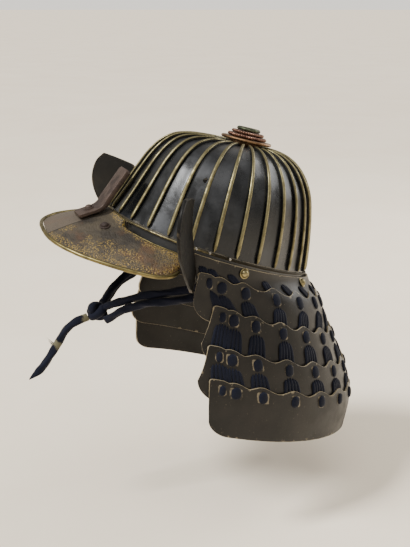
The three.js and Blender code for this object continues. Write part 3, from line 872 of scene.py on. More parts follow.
@dataclass(frozen=True)
class SilkFinish(Finish):
    """Plaited silk or rolled cloth, its threads following the piece's own UV map."""

    deep: str = "0e1424"
    light: str = "26344f"
    pale: str = "8d8a74"
    pitch: float = 1.5
    slant: float = 0.8
    worn: float = 0.0
    sheen: float = 0.06
    specular: float = 0.2
    bump: float = 0.8
    relief: float = 0.0005

    def look(self, graph: Graph) -> tuple[Any, Any, Any]:
        """Thread tones, faded blotches, and bare patches where the mark says so."""
        uv = graph.uv()
        point = graph.object_point()
        thread = EFFECTS.use(graph, "braid", uv, Pitch=self.pitch, Slant=self.slant)
        colour = graph.blend(thread, tint(self.deep), tint(self.light))
        fade = EFFECTS.use(graph, "clouds", point, Scale=110.0, Low=0.45, High=0.75)
        colour = graph.blend(graph.math("MULTIPLY", fade, 0.6), tint(self.deep), colour)
        if self.worn:
            bare = EFFECTS.use(
                graph, "wear", point, Distance=graph.layer("mark"), Reach=self.worn, Scale=140.0
            )
            faded = graph.blend(thread, tint("5f5c4a"), tint(self.pale))
            colour = graph.blend(bare, colour, faded)
        fuzz = graph.noise(point, 1400.0, 4.0)
        rough = graph.ramp(fuzz, 0.3, 0.7, 0.72, 0.95)
        return colour, rough, graph.math("ADD", thread, graph.math("MULTIPLY", fuzz, 0.5))


@dataclass(frozen=True)
class FloorFinish(Finish):
    """A plain pale studio floor with a barely seen mottle."""

    light: str = "f8ecd9"
    shade: str = "f3e6d2"

    def look(self, graph: Graph) -> tuple[Any, Any, Any]:
        """Two close tones."""
        point = graph.object_point()
        cloud = EFFECTS.use(graph, "clouds", point, Scale=3.0, Low=0.3, High=0.7)
        rough = graph.ramp(cloud, 0.0, 1.0, 0.8, 0.9)
        return graph.blend(cloud, tint(self.light), tint(self.shade)), rough, cloud


class Finishes:
    """The helmet's finishes."""

    bowl = LacquerFinish(
        "bowl_iron", base="16181b", cloud="34363a", worn="5a564e", gloss=(0.17, 0.46),
        metallic=0.6, coat=0.3, cloud_scale=17.0, wear_reach=1.0,
    )
    # The rib flanges: their own black iron, made darker and duller than the bowl plates as painted shade along the
    # foot of each brass cap.
    flange_shade = LacquerFinish(
        "flange_iron_shade", base="0d0d0c", cloud="1d1b17", worn="4a4229", gloss=(0.4, 0.6),
        wear_reach=0.6,
    )
    band = LacquerFinish(
        "band_lacquer", base="0b0c0e", cloud="191918", worn="4b4435", wear_reach=0.7, coat=0.2
    )
    lame = LacquerFinish(
        "lame_lacquer", base="0b0a09", cloud="191613", worn="857a64", gloss=(0.3, 0.5),
        cloud_scale=14.0, wear_reach=0.5, mark_reach=0.5, coat=0.05, specular=0.27,
    )
    flap = LacquerFinish(
        "flap_lacquer", base="050505", cloud="100e0c", worn="3f3629", gloss=(0.42, 0.62),
        cloud_scale=30.0, wear_reach=0.6, specular=0.18,
    )
    rib = MetalFinish("rib_brass", bright="857e5e", patina="665f45", gloss=(0.4, 0.58))
    trim = MetalFinish(
        "trim_brass", bright="86794f", patina="575038", gloss=(0.34, 0.52), scale=60.0
    )
    # The edging takes its dark tone from Y = -0.09 m back, and shows brass only at the front.
    edging = MetalFinish(
        "edging_brass", bright="7f7658", patina="2f2b22", gloss=(0.36, 0.6), dark_behind_y=-0.09
    )
    peak = GiltFinish("peak_gilt", metallic=0.15, bump=0.9, relief=0.0009)
    russet = MetalFinish(
        "russet_iron", bright="46372f", patina="2a1f1c", gloss=(0.5, 0.72), metallic=0.35,
        bump=0.6, relief=0.0008, scale=60.0,
    )
    stud = MetalFinish("stud_brass", bright="968a64", patina="625a40", gloss=(0.3, 0.45))
    rivet = MetalFinish("rivet_iron", bright="a9a59d", patina="77736c", gloss=(0.35, 0.5))
    gilt = MetalFinish("finial_gilt", bright="8d6f52", patina="634c38", gloss=(0.34, 0.5))
    copper = MetalFinish("finial_copper", bright="7c6052", patina="523a32", gloss=(0.38, 0.55))
    bronze = MetalFinish("finial_bronze", bright="5f6452", patina="2b2f25", gloss=(0.3, 0.5))
    silk = SilkFinish("lacing_silk", deep="03081a", light="101e46")
    cloth = SilkFinish(
        "cord_cloth", deep="050a1d", light="121f42", pitch=1.9, slant=0.45, worn=6.0
    )
    floor = FloorFinish("studio_floor", bump=0.05)


class Dresser:
    @staticmethod
    def dress(
        piece: bpy.types.Object, finish: Finish, slot: Slot, nodes: Sequence[str] = ()
    ) -> bpy.types.Object:
        """Give a piece its finish, its slot and the nodes that it stands for.

        Args:
            piece: the finished object.
            finish: its finish.
            slot: the record's material slot.
            nodes: CAD nodes that it replaces.

        Returns:
            The same object.
        """
        piece.data.materials.clear()
        piece.data.materials.append(finish.material())
        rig.ride(piece, "root")
        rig.slot(piece, slot.value)
        if nodes:
            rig.replaces(piece, *nodes)
        LOG.info("%s: %d faces", piece.name, len(piece.data.polygons))
        return piece

    @staticmethod
    def bevel(piece: bpy.types.Object, width: float, segments: int = 2) -> None:
        """Round a piece's sharp edges by a width in millimetres."""
        rounding = piece.modifiers.new("rounded_edges", "BEVEL")
        rounding.width = width * MM
        rounding.segments = segments
        rounding.limit_method = "ANGLE"
        rounding.angle_limit = math.radians(50)


# ---------------------------------------------------------------- bowl, ribs and base band


@dataclass(frozen=True)
class Bowl:
    """The plate bowl: an oval rim whose reach shrinks level by level up to the crown."""

    plates: int = 28
    half_width: float = 102.0
    half_length: float = 120.0
    oval_centre: float = -13.5
    front_fullness: float = 0.2
    crown_height: float = 114.0
    front_rise: float = 14.0
    wall: float = 2.4
    hollow: float = 0.5
    rises: tuple[float, ...] = (0.0, 0.25, 0.5, 0.7, 0.86, 0.955, 0.995, 0.993)
    fronts: tuple[float, ...] = (1.0, 0.915, 0.835, 0.765, 0.68, 0.57, 0.37, 0.0)
    sides: tuple[float, ...] = (1.0, 0.98, 0.925, 0.84, 0.7, 0.53, 0.33, 0.0)
    rears: tuple[float, ...] = (1.0, 0.955, 0.895, 0.82, 0.69, 0.53, 0.33, 0.0)
    hole_radius: float = 2.3
    hole_heading: float = 54.5
    hole_level: float = 2.6
    drill_reach: float = 10.0
    rows: int = 56
    plate_columns: int = 8
    crown_levels: tuple[float, ...] = (6.4, 6.7, 6.95)

    def rim(self, heading: Array, off: Any = 0.0) -> Array:
        """Point of the rim: an oval, fuller ahead, that climbs at the brow by the cosine."""
        c = np.cos(heading)
        x = (self.half_width + off) * np.sin(heading) * (1 + self.front_fullness * c)
        return stack(x, self.oval_centre - (self.half_length + off) * c, self.front_rise * c)

    def point(self, heading: Array, level: Array, off: Any = 0.0) -> Array:
        """Point of the bowl.

        The rim point is drawn in by the level's reach, blended between side and front or rear
        by the squared cosine, and raised to the level's share of the crown.

        Args:
            heading: angle from the brow.
            level: place in the tables, 0 at the rim and 7 at the crown.
            off: distance outwards.

        Returns:
            Points in the helmet frame.
        """
        heading, level = np.broadcast_arrays(heading, level)
        keys = range(len(self.rises))
        rise, front, side, rear = (
            smooth_table(keys, table, level)
            for table in (self.rises, self.fronts, self.sides, self.rears)
        )
        rim = self.rim(heading, off)
        c = np.cos(heading)
        reach = mix(side, np.where(c > 0, front, rear), c * c)
        z = mix(rim[..., 2], self.crown_height + off, rise)
        return stack(rim[..., 0] * reach, rim[..., 1] * reach, z)

    def shell(self) -> bpy.types.Object:
        """The hollow bowl. Each plate sinks a little between its ribs, by a cosine's square."""
        columns = self.plates * self.plate_columns
        heading = np.linspace(0, 2 * math.pi, columns, endpoint=False)[None]
        even = np.linspace(0, self.crown_levels[0], self.rows)
        level = np.concatenate([even, self.crown_levels[1:]])[:, None]
        across = np.cos(heading * self.plates / 2) ** 2
        outer = self.point(heading, level, -self.hollow * across)
        inner = self.point(heading, level, -self.wall)
        rim = run_along(outer[:, 0]).repeat(columns)
        body = Mesh()
        body.add_plate(POSE.place(outer), POSE.place(inner), loop=True, rim=rim, domed=True)
        return self.pierce(body.build("bowl_plates"))

    def pierce(self, piece: bpy.types.Object) -> bpy.types.Object:
        """Cut the small round air hole through a plate on each side."""
        cutter = Mesh()
        for side in (1, -1):
            heading = np.array(side * math.radians(self.hole_heading))
            centre = self.point(heading, np.array(self.hole_level))
            sideways = (self.rim(heading + 0.01) - self.rim(heading - 0.01)) * (1 - UP)
            above = self.point(heading, np.array(self.hole_level + 0.2))
            out = np.cross(sideways, above - centre)
            radius, reach = self.hole_radius * MM, self.drill_reach * MM
            profile = [(radius, -reach), (radius, reach)]
            cutter.add_lathe(profile, Seat(POSE.place(centre), POSE.turn(out)), 24)
        drill = cutter.build("air_hole_drill")
        cut = piece.modifiers.new("air_holes", "BOOLEAN")
        cut.operation, cut.solver, cut.object = "DIFFERENCE", "EXACT", drill
        shaped = piece.evaluated_get(bpy.context.evaluated_depsgraph_get())
        data = bpy.data.meshes.new_from_object(shaped)
        piece.modifiers.clear()
        piece.data = data
        bpy.data.objects.remove(drill)
        return piece

    def build(self) -> None:
        """The bowl in its finish."""
        Dresser.dress(self.shell(), Finishes.bowl, Slot.BOWL, ["bowl"])


@dataclass(frozen=True)
class Ribs:
    """Standing flanges on the plates' seams, each capped by a round brass strip."""

    bowl: Bowl
    rows: int = 44
    top_level: float = 6.3
    foot_width: float = 2.15
    crown_width: float = 1.45
    cap_height: float = 2.6
    flange_half: float = 1.3
    flatness: float = 0.62

    def spine(self, index: int) -> tuple[Array, Array]:
        """A rib's foot line and the outward direction along it."""
        heading = np.array((index + 0.5) * 2 * math.pi / self.bowl.plates)
        level = np.linspace(0.03, self.top_level, self.rows)
        line = self.bowl.point(heading, level)
        side = (self.bowl.rim(heading + 0.01) - self.bowl.rim(heading - 0.01)) * (1 - UP)
        along = unit(np.gradient(line, axis=0))
        return line, unit(np.cross(unit(side), along))

    def build(self) -> None:
        """Every brass strip as its own piece, and the flanges together."""
        flanges = Mesh()
        share = np.linspace(0, 1, self.rows)
        ends = round_ends(share, 40, 0.02)
        width = mix(self.foot_width, self.crown_width, share**1.5) * ends * MM
        for index in range(self.bowl.plates):
            line, out = self.spine(index)
            cap = Mesh()
            place, direction = POSE.place(line + out * self.cap_height), POSE.turn(out)
            cap.add_tube(place, direction, width, width * self.flatness, 12)
            piece = cap.build(f"rib_cap_{index + 1:02d}", 70)
            Dresser.dress(piece, Finishes.rib, Slot.RIB, [f"rib_{index + 1:02d}"])
            middle = POSE.place(line + out * self.cap_height / 2)
            half, high = self.flange_half * MM, self.cap_height * self.flatness * MM
            flanges.add_tube(middle, direction, half, high, 8)
        # The flanges' near-black finish is partly their own iron and partly painted shade beside each rib.
        Dresser.dress(flanges.build("rib_flanges"), Finishes.flange_shade, Slot.BOWL)


@dataclass(frozen=True)
class BaseBand:
    """The lacquered band under the rim, its brass edging and its small iron rivets."""

    bowl: Bowl
    drop: float = 14.0
    wall: float = 2.4
    flare: float = 1.8
    gap: float = 0.35
    edging: float = 1.2
    rivet_headings: tuple[float, ...] = (61.5, 68.8, 80.0)
    rivet_off: float = 2.9
    rivet_drop: float = 1.1
    rivet: tuple[tuple[float, float], ...] = (
        (0.0, -0.6), (1.7, -0.6), (1.7, 0.1), (1.3, 0.8), (0.6, 1.15), (0.0, 1.25)
    )

    def build(self) -> None:
        """Band, edging and rivets."""
        heading = np.linspace(0, 2 * math.pi, 220, endpoint=False)[None]
        share = np.linspace(0, 1, 9)[:, None]
        off = mix(self.flare, 0.0, share)
        down = mix(self.drop, self.gap, share)[..., None] * UP
        outer = self.bowl.rim(heading, off) - down
        inner = self.bowl.rim(heading, off - self.wall) - down
        band = Mesh()
        band.add_plate(POSE.place(outer), POSE.place(inner), loop=True)
        Dresser.dress(band.build("base_band_wall"), Finishes.band, Slot.BAND, ["base_band"])
        line = self.bowl.rim(heading[0], self.gap + self.flare / 2 + self.edging * 0.9)
        line[:, 2] -= self.gap + self.edging
        centre = np.array([0.0, self.bowl.oval_centre, 0.0])
        out = (line - centre) * (1 - UP)
        edging = Mesh()
        half = self.edging * MM
        edging.add_tube(POSE.place(line), POSE.turn(out), half, half * 0.9, 12, loop=True)
        piece = edging.build("base_band_edging", 70)
        Dresser.dress(piece, Finishes.edging, Slot.RIB, ["base_band_trim"])
        Dresser.dress(self.rivets(), Finishes.rivet, Slot.RUSSET)

    def rivets(self) -> bpy.types.Object:
        """Small domed rivets above the edging, on both sides."""
        body = Mesh()
        profile = [(r * MM, h * MM) for r, h in self.rivet]
        for degrees in self.rivet_headings:
            for side in (1, -1):
                heading = np.array(side * math.radians(degrees))
                point = self.bowl.rim(heading, self.rivet_off) - self.rivet_drop * UP
                out = self.bowl.rim(heading, 1.0) - self.bowl.rim(heading)
                body.add_lathe(profile, Seat(POSE.place(point), POSE.turn(out)), 12)
        return body.build("rim_rivets", 60)


# ---------------------------------------------------------------- peak, holder and studs


@dataclass(frozen=True)
class Stud:
    """A round-headed stud on a thin collar."""

    collar: float = 5.7
    dome: float = 4.2
    height: float = 4.1
    clearance: float = 0.6

    def build(
        self, name: str, point: Array, normal: Array, finish: Finish, slot: Slot, node: str
    ) -> None:
        """Stand a stud on a helmet point along its normal; the dome is a quarter ellipse."""
        turn = np.linspace(0, math.pi / 2, 8)
        dome = [(self.dome * math.cos(t), 1.0 + (self.height - 1.0) * math.sin(t)) for t in turn]
        profile = [(0.0, 0.0), (self.collar, 0.0), (self.collar, 0.55), (self.collar - 0.5, 0.9)]
        profile += [(self.dome + 0.5, 1.0), (self.dome + 0.1, 0.8)] + dome
        body = Mesh()
        seat = Seat(POSE.place(point + self.clearance * normal), POSE.turn(normal))
        body.add_lathe([(r * MM, h * MM) for r, h in profile], seat, 28)
        Dresser.dress(body.build(name, 50), finish, slot, [node])


@dataclass(frozen=True)
class Peak:
    """The gilt peak: a crowned plate from the brow out to its lip, with a brass roll.

    The columns run from the middle to the left end; the right is its mirror, with the lip's
    tilt turned over.
    """

    bowl: Bowl
    headings: tuple[float, ...] = (0, 5, 10, 14, 17, 18.2, 23, 28, 34, 39.5, 45, 50.5, 55, 58)
    root_rises: tuple[float, ...] = (
        3, 2.5, 1.6, 0.4, -1, -10, -10.6, -11, -11.6, -12, -12, -12, -12.5, -13
    )
    lip_sides: tuple[float, ...] = (
        0, 18, 35.5, 49, 58.5, 63, 75.5, 85.5, 94, 100, 104.5, 107, 106.5, 103.5
    )
    lip_aheads: tuple[float, ...] = (
        206.5, 205.3, 200.5, 193.3, 186.5, 182.6, 169.5, 156, 141.5, 128, 115, 104, 94, 87
    )
    lip_drops: tuple[float, ...] = (
        17.8, 18.2, 18.5, 18.5, 18.3, 18.2, 17.7, 17.2, 16.8, 17.2, 18, 18.1, 17.1, 14.6
    )
    tilts: tuple[float, ...] = (
        0, 2, 3.9, 5.4, 6.4, 7, 8.3, 9.4, 10.3, 10.2, 9.5, 8.2, 6.2, 4
    )
    brow_gap: float = 5.6
    side_gap: float = 3.8
    wall: float = 1.9
    crown: float = 2.2
    roll: float = 2.2
    roll_gap: float = 0.2
    notch: tuple[float, float] = (17.0, 18.2)
    notch_depth: float = 0.1
    stud_heading: float = 14.0
    stud_share: float = 0.31
    strip_share: float = 0.012

    def root(self, heading: Array, rise: Array) -> Array:
        """Points of the brow line, stood off the rim and raised."""
        degrees = np.abs(np.degrees(heading))
        off = np.interp(degrees, self.notch, [self.brow_gap, self.side_gap])
        line = self.bowl.rim(heading, off)
        line[..., 2] += rise
        return line

    def surface(self, turn: Array, share: Array) -> Array:
        """Upper face.

        A straight blend from the root to the lip, plus a sine crown. Near the root, the even
        brow line gives way to the notched one.

        Args:
            turn: heading in degrees, negative on the right.
            share: 0 at the root and 1 at the lip.

        Returns:
            Points in the helmet frame.
        """
        turn, share = np.broadcast_arrays(turn, share)
        size, sign = np.abs(turn), np.sign(turn)
        notch = np.interp(size, self.headings, self.root_rises)
        bend = np.sin(size / self.headings[-1] * math.pi / 2)
        even = mix(self.root_rises[0], self.root_rises[-1], bend)
        near = np.clip(1 - share / self.notch_depth, 0, 1)
        rise = mix(even, notch, near * near * (3 - 2 * near))
        root = self.root(np.radians(turn), rise)
        side, ahead, drop, tilt = (
            smooth_table(self.headings, table, size)
            for table in (self.lip_sides, self.lip_aheads, self.lip_drops, self.tilts)
        )
        lip = stack(sign * side, -ahead, -drop - sign * tilt)
        points = mix(root, lip, share[..., None])
        points[..., 2] += self.crown * np.sin(math.pi * share)
        return points

    def turns(self) -> Array:
        """Headings of the columns, close together at the notches."""
        begin, end = self.notch
        half = np.concatenate([
            np.linspace(0, begin - 0.2, 26), np.linspace(begin, end, 5),
            np.linspace(end + 0.5, self.headings[-1], 60),
        ])
        return np.concatenate([-half[:0:-1], half])

    def build(self) -> None:
        """Plate, lip roll, root strip and studs."""
        turns = self.turns()
        share = 1 - np.linspace(0, 1, 44)[:, None] ** 1.25
        grid = self.surface(turns[None], share)
        grid[-1] = self.surface(turns, np.zeros(len(turns)))
        inner = grid - self.wall * surface_normals(grid)
        plate = Mesh()
        plate.add_plate(POSE.place(grid), POSE.place(inner))
        piece = plate.build("peak_plate")
        Dresser.bevel(piece, 0.3)
        Dresser.dress(piece, Finishes.peak, Slot.PEAK, ["peak"])
        self.build_roll(grid[0])
        self.build_root_strip(turns)
        share, nearer = self.stud_share, self.stud_share - 0.02
        for side, name in ((1, "left"), (-1, "right")):
            here, ahead = side * self.stud_heading, side * (self.stud_heading + 0.5)
            point = self.surface(here, share)
            normal = np.cross(
                side * (self.surface(ahead, share) - point), self.surface(here, nearer) - point
            )
            Stud().build(
                f"peak_rivet_{name}", point, unit(normal), Finishes.russet, Slot.RUSSET,
                f"peak_stud_{name}",
            )

    def build_roll(self, lip: Array) -> None:
        """The brass roll just outside the lip."""
        along = unit(np.gradient(lip, axis=0))
        out = unit(np.cross(along, UP))
        out *= -np.sign(out[len(lip) // 2, 1])
        line = lip + out * (self.roll + self.roll_gap) - UP * self.wall / 2
        radius = self.roll * round_ends(np.linspace(0, 1, len(lip)), 60, 0.05) * MM
        body = Mesh()
        body.add_tube(POSE.place(line), POSE.turn(UP), radius, radius, 14)
        piece = body.build("peak_roll", 70)
        Dresser.dress(piece, Finishes.trim, Slot.RIB, ["peak_trim"])

    def build_root_strip(self, turns: Array) -> None:
        """A thin brass strip on the peak, along its root and down the notches."""
        line = self.surface(turns, np.full(len(turns), self.strip_share)) + 0.2 * UP
        body = Mesh()
        body.add_tube(POSE.place(line), POSE.turn(UP), 0.9 * MM, 0.7 * MM, 8)
        Dresser.dress(body.build("peak_root_strip", 70), Finishes.trim, Slot.RIB)


@dataclass(frozen=True)
class CrestHolder:
    """A thick iron strip: its foot lies on the peak and its stem stands up from it."""

    half_width: float = 13.5
    foot_wall: float = 4.6
    stem_wall: float = 7.2
    toe: tuple[float, float] = (-175.0, 1.2)
    heel: tuple[float, float] = (-149.0, 14.8)
    top: tuple[float, float] = (-129.0, 60.0)
    bend: float = 7.0
    rows: int = 46

    def build(self) -> None:
        """The strip: a rounded rectangle carried along the bent underside line."""
        toe, heel, top = (np.array(p) for p in (self.toe, self.heel, self.top))
        before = heel - self.bend * unit(heel - toe)
        after = heel + self.bend * unit(top - heel)
        s = np.linspace(0, 1, 14)[:, None]
        curve = (1 - s) ** 2 * before + 2 * s * (1 - s) * heel + s * s * after
        foot = mix(toe, before, np.linspace(0, 1, 12)[:-1, None])
        stem = mix(after, top, np.linspace(0, 1, 18)[1:, None])
        line = np.concatenate([foot, curve, stem])
        run = run_along(line)
        along = unit(np.gradient(line, run, axis=0))
        out = np.stack([-along[:, 1], along[:, 0]], axis=-1)
        wall = mix(self.foot_wall, self.stem_wall, np.clip((run - 18) / 22, 0, 1))
        ends = 1 - 0.16 * np.clip(1 - run / 1.5, 0, 1) - 0.16 * np.clip(
            1 - (run[-1] - run) / 1.5, 0, 1
        )
        middle = line + out * wall[:, None] / 2
        wide, tall = boxy_ring(32, 0.28)
        across = self.half_width * wide * ends[:, None]
        high = (wall / 2 * ends)[:, None] * tall
        y = middle[:, :1] + out[:, :1] * high
        z = middle[:, 1:] + out[:, 1:] * high
        body = Mesh()
        body.add_tubes(POSE.place(stack(across, y, z))[None])
        piece = body.build("crest_holder_strip", 30)
        Dresser.dress(piece, Finishes.russet, Slot.RUSSET, ["crest_holder"])
        spot = mix(toe, heel, 0.5)
        foot_out = np.array([0.0, -unit(heel - toe)[1], unit(heel - toe)[0]])
        point = np.array([0.0, *spot]) + foot_out * (self.foot_wall - 0.4)
        Stud().build(
            "crest_holder_stud", point, foot_out, Finishes.russet, Slot.RUSSET, "crest_stud"
        )


# ---------------------------------------------------------------- flaps


@dataclass(frozen=True)
class Flap:
    """A turned-back flap: it sweeps out and forward from the neck guard's front end."""

    heights: tuple[float, ...] = (-40, -30, -14, 4, 20, 37.5, 50, 58.5)
    reaches: tuple[float, ...] = (5, 21, 47, 69, 75.5, 73, 66.5, 57)
    headings: tuple[float, ...] = (54, 54, 54.5, 55, 55.5, 56, 57, 57.5)
    roots: tuple[float, ...] = (78, 76.5, 75.5, 77, 78.5, 78.5, 77.5, 76)
    dips: tuple[float, ...] = (0, 0, 0, 0, 0, 0.5, 1.5, 3)
    wall: float = 3.2
    root_side: float = 102.0
    curl: float = 4.0
    edge: float = 1.7
    edge_rubbed: float = 1.2

    def surface(self, height: Array, share: Array) -> Array:
        """Outer face: out along the heading, curled back by the squared reach."""
        reach, turn, root, dip = (
            smooth_table(self.heights, table, height)
            for table in (self.reaches, self.headings, self.roots, self.dips)
        )
        out = reach * share
        up = height - dip * (1 - share) ** 2
        angle = np.radians(turn)
        y = self.curl * (out / 60) ** 2 - out * np.cos(angle) - root - up * math.tan(POSE.lean)
        return stack(self.root_side + out * np.sin(angle), y, up)

    def build(self, side: int, name: str) -> None:
        """The flap and its raised rim on one side."""
        height = np.linspace(self.heights[0], self.heights[-1], 64)[:, None]
        share = np.linspace(0, 1, 40)[None]
        grid = self.surface(height, share)
        back = grid - self.wall * surface_normals(grid)
        flip = np.array([side, 1, 1])
        body = Mesh()
        body.add_plate(POSE.place(grid * flip), POSE.place(back * flip))
        middle = (grid + back) / 2
        line = np.concatenate([middle[2:, -1], middle[-1, ::-1][1:-1]])
        direction = POSE.turn(np.array([0.9, 0.4, 0.0]) * flip)
        rim = self.edge * round_ends(np.linspace(0, 1, len(line)), 40, 0.05) * MM
        body.add_tube(POSE.place(line * flip), direction, rim, rim * 1.25, 10)
        body.layers["rim"][-1][:] = self.edge_rubbed
        piece = body.build(f"flap_{name}")
        Dresser.dress(piece, Finishes.flap, Slot.FLAP, [f"turned_flap_{name}"])


# ---------------------------------------------------------------- neck guard


@dataclass(frozen=True)
class Skirt:
    """The flare that the neck guard follows: an oval at each drop below the rim plane."""

    drops: tuple[float, ...] = (-10, 15, 36, 75, 117, 148, 186)
    centres: tuple[float, ...] = (-13, -11, -3, 8, 20, 27, 30)
    sides: tuple[float, ...] = (104.6, 107.5, 112.5, 123, 135, 142, 146.5)
    rears: tuple[float, ...] = (106.8, 109.3, 126.6, 155, 187, 202, 209)
    fullness: tuple[float, ...] = (0.2, 0.19, 0.1, 0, 0, 0, 0)
    tapers: tuple[float, ...] = (0.19, 0.235, 0.075, 0, 0, 0, 0)

    def point(self, heading: Array, up: Array, off: Any = 0.0) -> Array:
        """Point of the flare: an oval sized by the tables, fuller ahead and tapered behind."""
        centre, side, rear, full, taper = (
            smooth_table(self.drops, table, -np.asarray(up, float))
            for table in (self.centres, self.sides, self.rears, self.fullness, self.tapers)
        )
        c = np.cos(heading)
        x = (side + off) * np.sin(heading) * (1 + np.where(c > 0, full, taper) * c)
        return stack(x, centre - (rear - centre + off) * c, up)

    def normal(self, heading: Array, up: Array) -> Array:
        """Outward normal: the cross product of small steps round and up."""
        turn = self.point(heading + 0.01, up) - self.point(heading - 0.01, up)
        rise = self.point(heading, up + 0.5) - self.point(heading, up - 0.5)
        return unit(np.cross(turn, rise))


@dataclass(frozen=True)
class Lame:
    """One curved lame of the neck guard: four edge heights and two end lines.

    Each radius turns a heading into a length round the lame.
    """

    index: int
    top_front: float
    top_rear: float
    low_front: float
    low_rear: float
    top_ahead: float
    low_ahead: float
    out: float
    columns: tuple[float, ...]
    skirt: Skirt = field(default_factory=Skirt)
    front_pad: float = 0.66
    wall: float = 2.0
    tuck: float = 3.1
    crest: tuple[float, float] = (2.6, 4.2)
    trough: tuple[float, float] = (-1.6, -3.6)
    crest_reach: float = 9.5
    low_corner: float = 17.0
    top_corner: float = 2.5
    wave_radius: float = 130.0
    end_radius: float = 123.0
    pad_radius: float = 128.0
    pad_drop: float = 1.8
    pad_lengths: tuple[float, float] = (8.5, 12.5)
    pad_half: float = 5.3
    pad_corner: float = 3.0
    rows: int = 26
    points: int = 301
    gathered: float = 0.72

    def line_up(self, heading: Array, share: Any) -> Array:
        """Height of the lame's line at a share of its depth, found by repeated blending.

        The height runs straight from the front end to the nape, in step with how far back
        the flare has come at that height.
        """
        ahead = mix(self.low_ahead, self.top_ahead, share)
        front = mix(self.low_front, self.top_front, share)
        rear = mix(self.low_rear, self.top_rear, share)
        nape = self.skirt.point(np.pi, rear)[..., 1]
        up = rear + 0 * heading
        for _ in range(5):
            back = self.skirt.point(heading, up)[..., 1]
            up = mix(front, rear, (back + ahead) / (nape + ahead))
        return up

    def start(self, share: Any) -> Array:
        """Heading of the left front end: where the flare reaches the end line."""
        up = mix(self.low_front, self.top_front, share)
        middle = self.skirt.point(np.pi / 2, up)[..., 1]
        depth = self.skirt.point(np.pi, up)[..., 1] - middle
        return np.arccos((middle + mix(self.low_ahead, self.top_ahead, share)) / depth)

    def stand(self, heading: Array, up: Array) -> Array:
        """How far the lame stands off the flare at a height."""
        low, top = self.line_up(heading, 0.0), self.line_up(heading, 1.0)
        return mix(-self.tuck, self.out, np.clip((up - low) / (top - low), 0, 1))

    def column_headings(self) -> Array:
        """Headings of the lacing columns, all round."""
        begin = self.start(0.85)
        left = begin + (2 * math.pi - 2 * begin) * np.array(self.columns)
        right = 2 * math.pi - left[::-1]
        return np.concatenate([left, right[right > left[-1] + 0.02]])

    def wave(self, heading: Array) -> Array:
        """Lift of the top edge: a round crest over each lacing column, a dip between.

        Both grow from the front ends towards the nape, and the first crest reaches the end.
        """
        if self.index == 1:
            return np.zeros_like(heading)
        columns = self.column_headings()
        apart = np.abs(heading[..., None] - columns).min(axis=-1) * self.wave_radius
        ends = np.maximum(columns[0] - heading, heading - columns[-1])
        apart = np.where(ends > 0, 0.45 * apart, apart)
        back = np.clip((1 - np.cos(heading)) / 1.6 - 0.35, 0, 1)
        crest, trough = mix(*self.crest, back), mix(*self.trough, back)
        return mix(trough, crest, np.exp(-((apart / self.crest_reach) ** 2)))

    @staticmethod
    def corner(distance: Array, radius: float) -> Array:
        """Lift that rounds a corner: a quarter circle within its radius of the end."""
        left = np.clip(radius - distance, 0, radius)
        return radius - np.sqrt(radius**2 - left**2)

    def grid(self) -> tuple[Array, Array]:
        """Outer face of shape (rows, columns, 3), and each point's heading.

        Columns gather towards the front ends, by a sine of the even share.
        """
        share = np.linspace(0, 1, self.rows)[:, None]
        even = np.linspace(0, 1, self.points)[None]
        place = even - self.gathered * np.sin(2 * np.pi * even) / (2 * np.pi)
        begin = self.start(share)
        heading = begin + (2 * np.pi - 2 * begin) * place
        end = np.minimum(heading - begin, 2 * np.pi - begin - heading) * self.end_radius
        up = self.line_up(heading, share)
        up = up + self.corner(end, self.low_corner) * (1 - share) ** 2
        up = up - self.corner(end, self.top_corner) * share**6
        up = up + self.wave(heading) * np.clip((share - 0.6) / 0.4, 0, 1) ** 1.5
        off = mix(-self.tuck, self.out, share)
        return self.skirt.point(heading, up, off), heading

    def pads(self) -> tuple[Array, Array, Array, Array]:
        """Heading, top, foot and half width of the silk pad on each column.

        The pads nearest to the front ends are narrower and shorter.
        """
        columns = self.column_headings()
        size = np.ones_like(columns)
        size[[0, -1]] = self.front_pad
        top = self.line_up(columns, 1.0) - self.pad_drop
        return columns, top, top - mix(*self.pad_lengths, size), self.pad_half * size

    def pad_distance(self, grid: Array, heading: Array) -> Array:
        """Distance of each grid point from the nearest pad's rounded outline."""
        columns, high, low, half = self.pads()
        beside = np.abs(heading[..., None] - columns) * self.pad_radius - half + 0.1
        apart = np.abs(grid[..., 2:] - (high + low) / 2) - (high - low) / 2 - 0.2
        beside, apart = (np.maximum(side + self.pad_corner, 0) for side in (beside, apart))
        far = np.hypot(beside, apart) - self.pad_corner
        return np.maximum(far, 0).min(axis=-1)

    def build(self) -> None:
        """The lame as a closed plate with soft edges."""
        grid, heading = self.grid()
        inner = grid - self.wall * surface_normals(grid)
        body = Mesh()
        mark = self.pad_distance(grid, heading) if self.index > 1 else None
        body.add_plate(POSE.place(grid), POSE.place(inner), mark=mark)
        piece = body.build(f"lame_{self.index}")
        Dresser.bevel(piece, 0.45)
        Dresser.dress(piece, Finishes.lame, Slot.LAME, [f"neck_lame_{self.index}"])


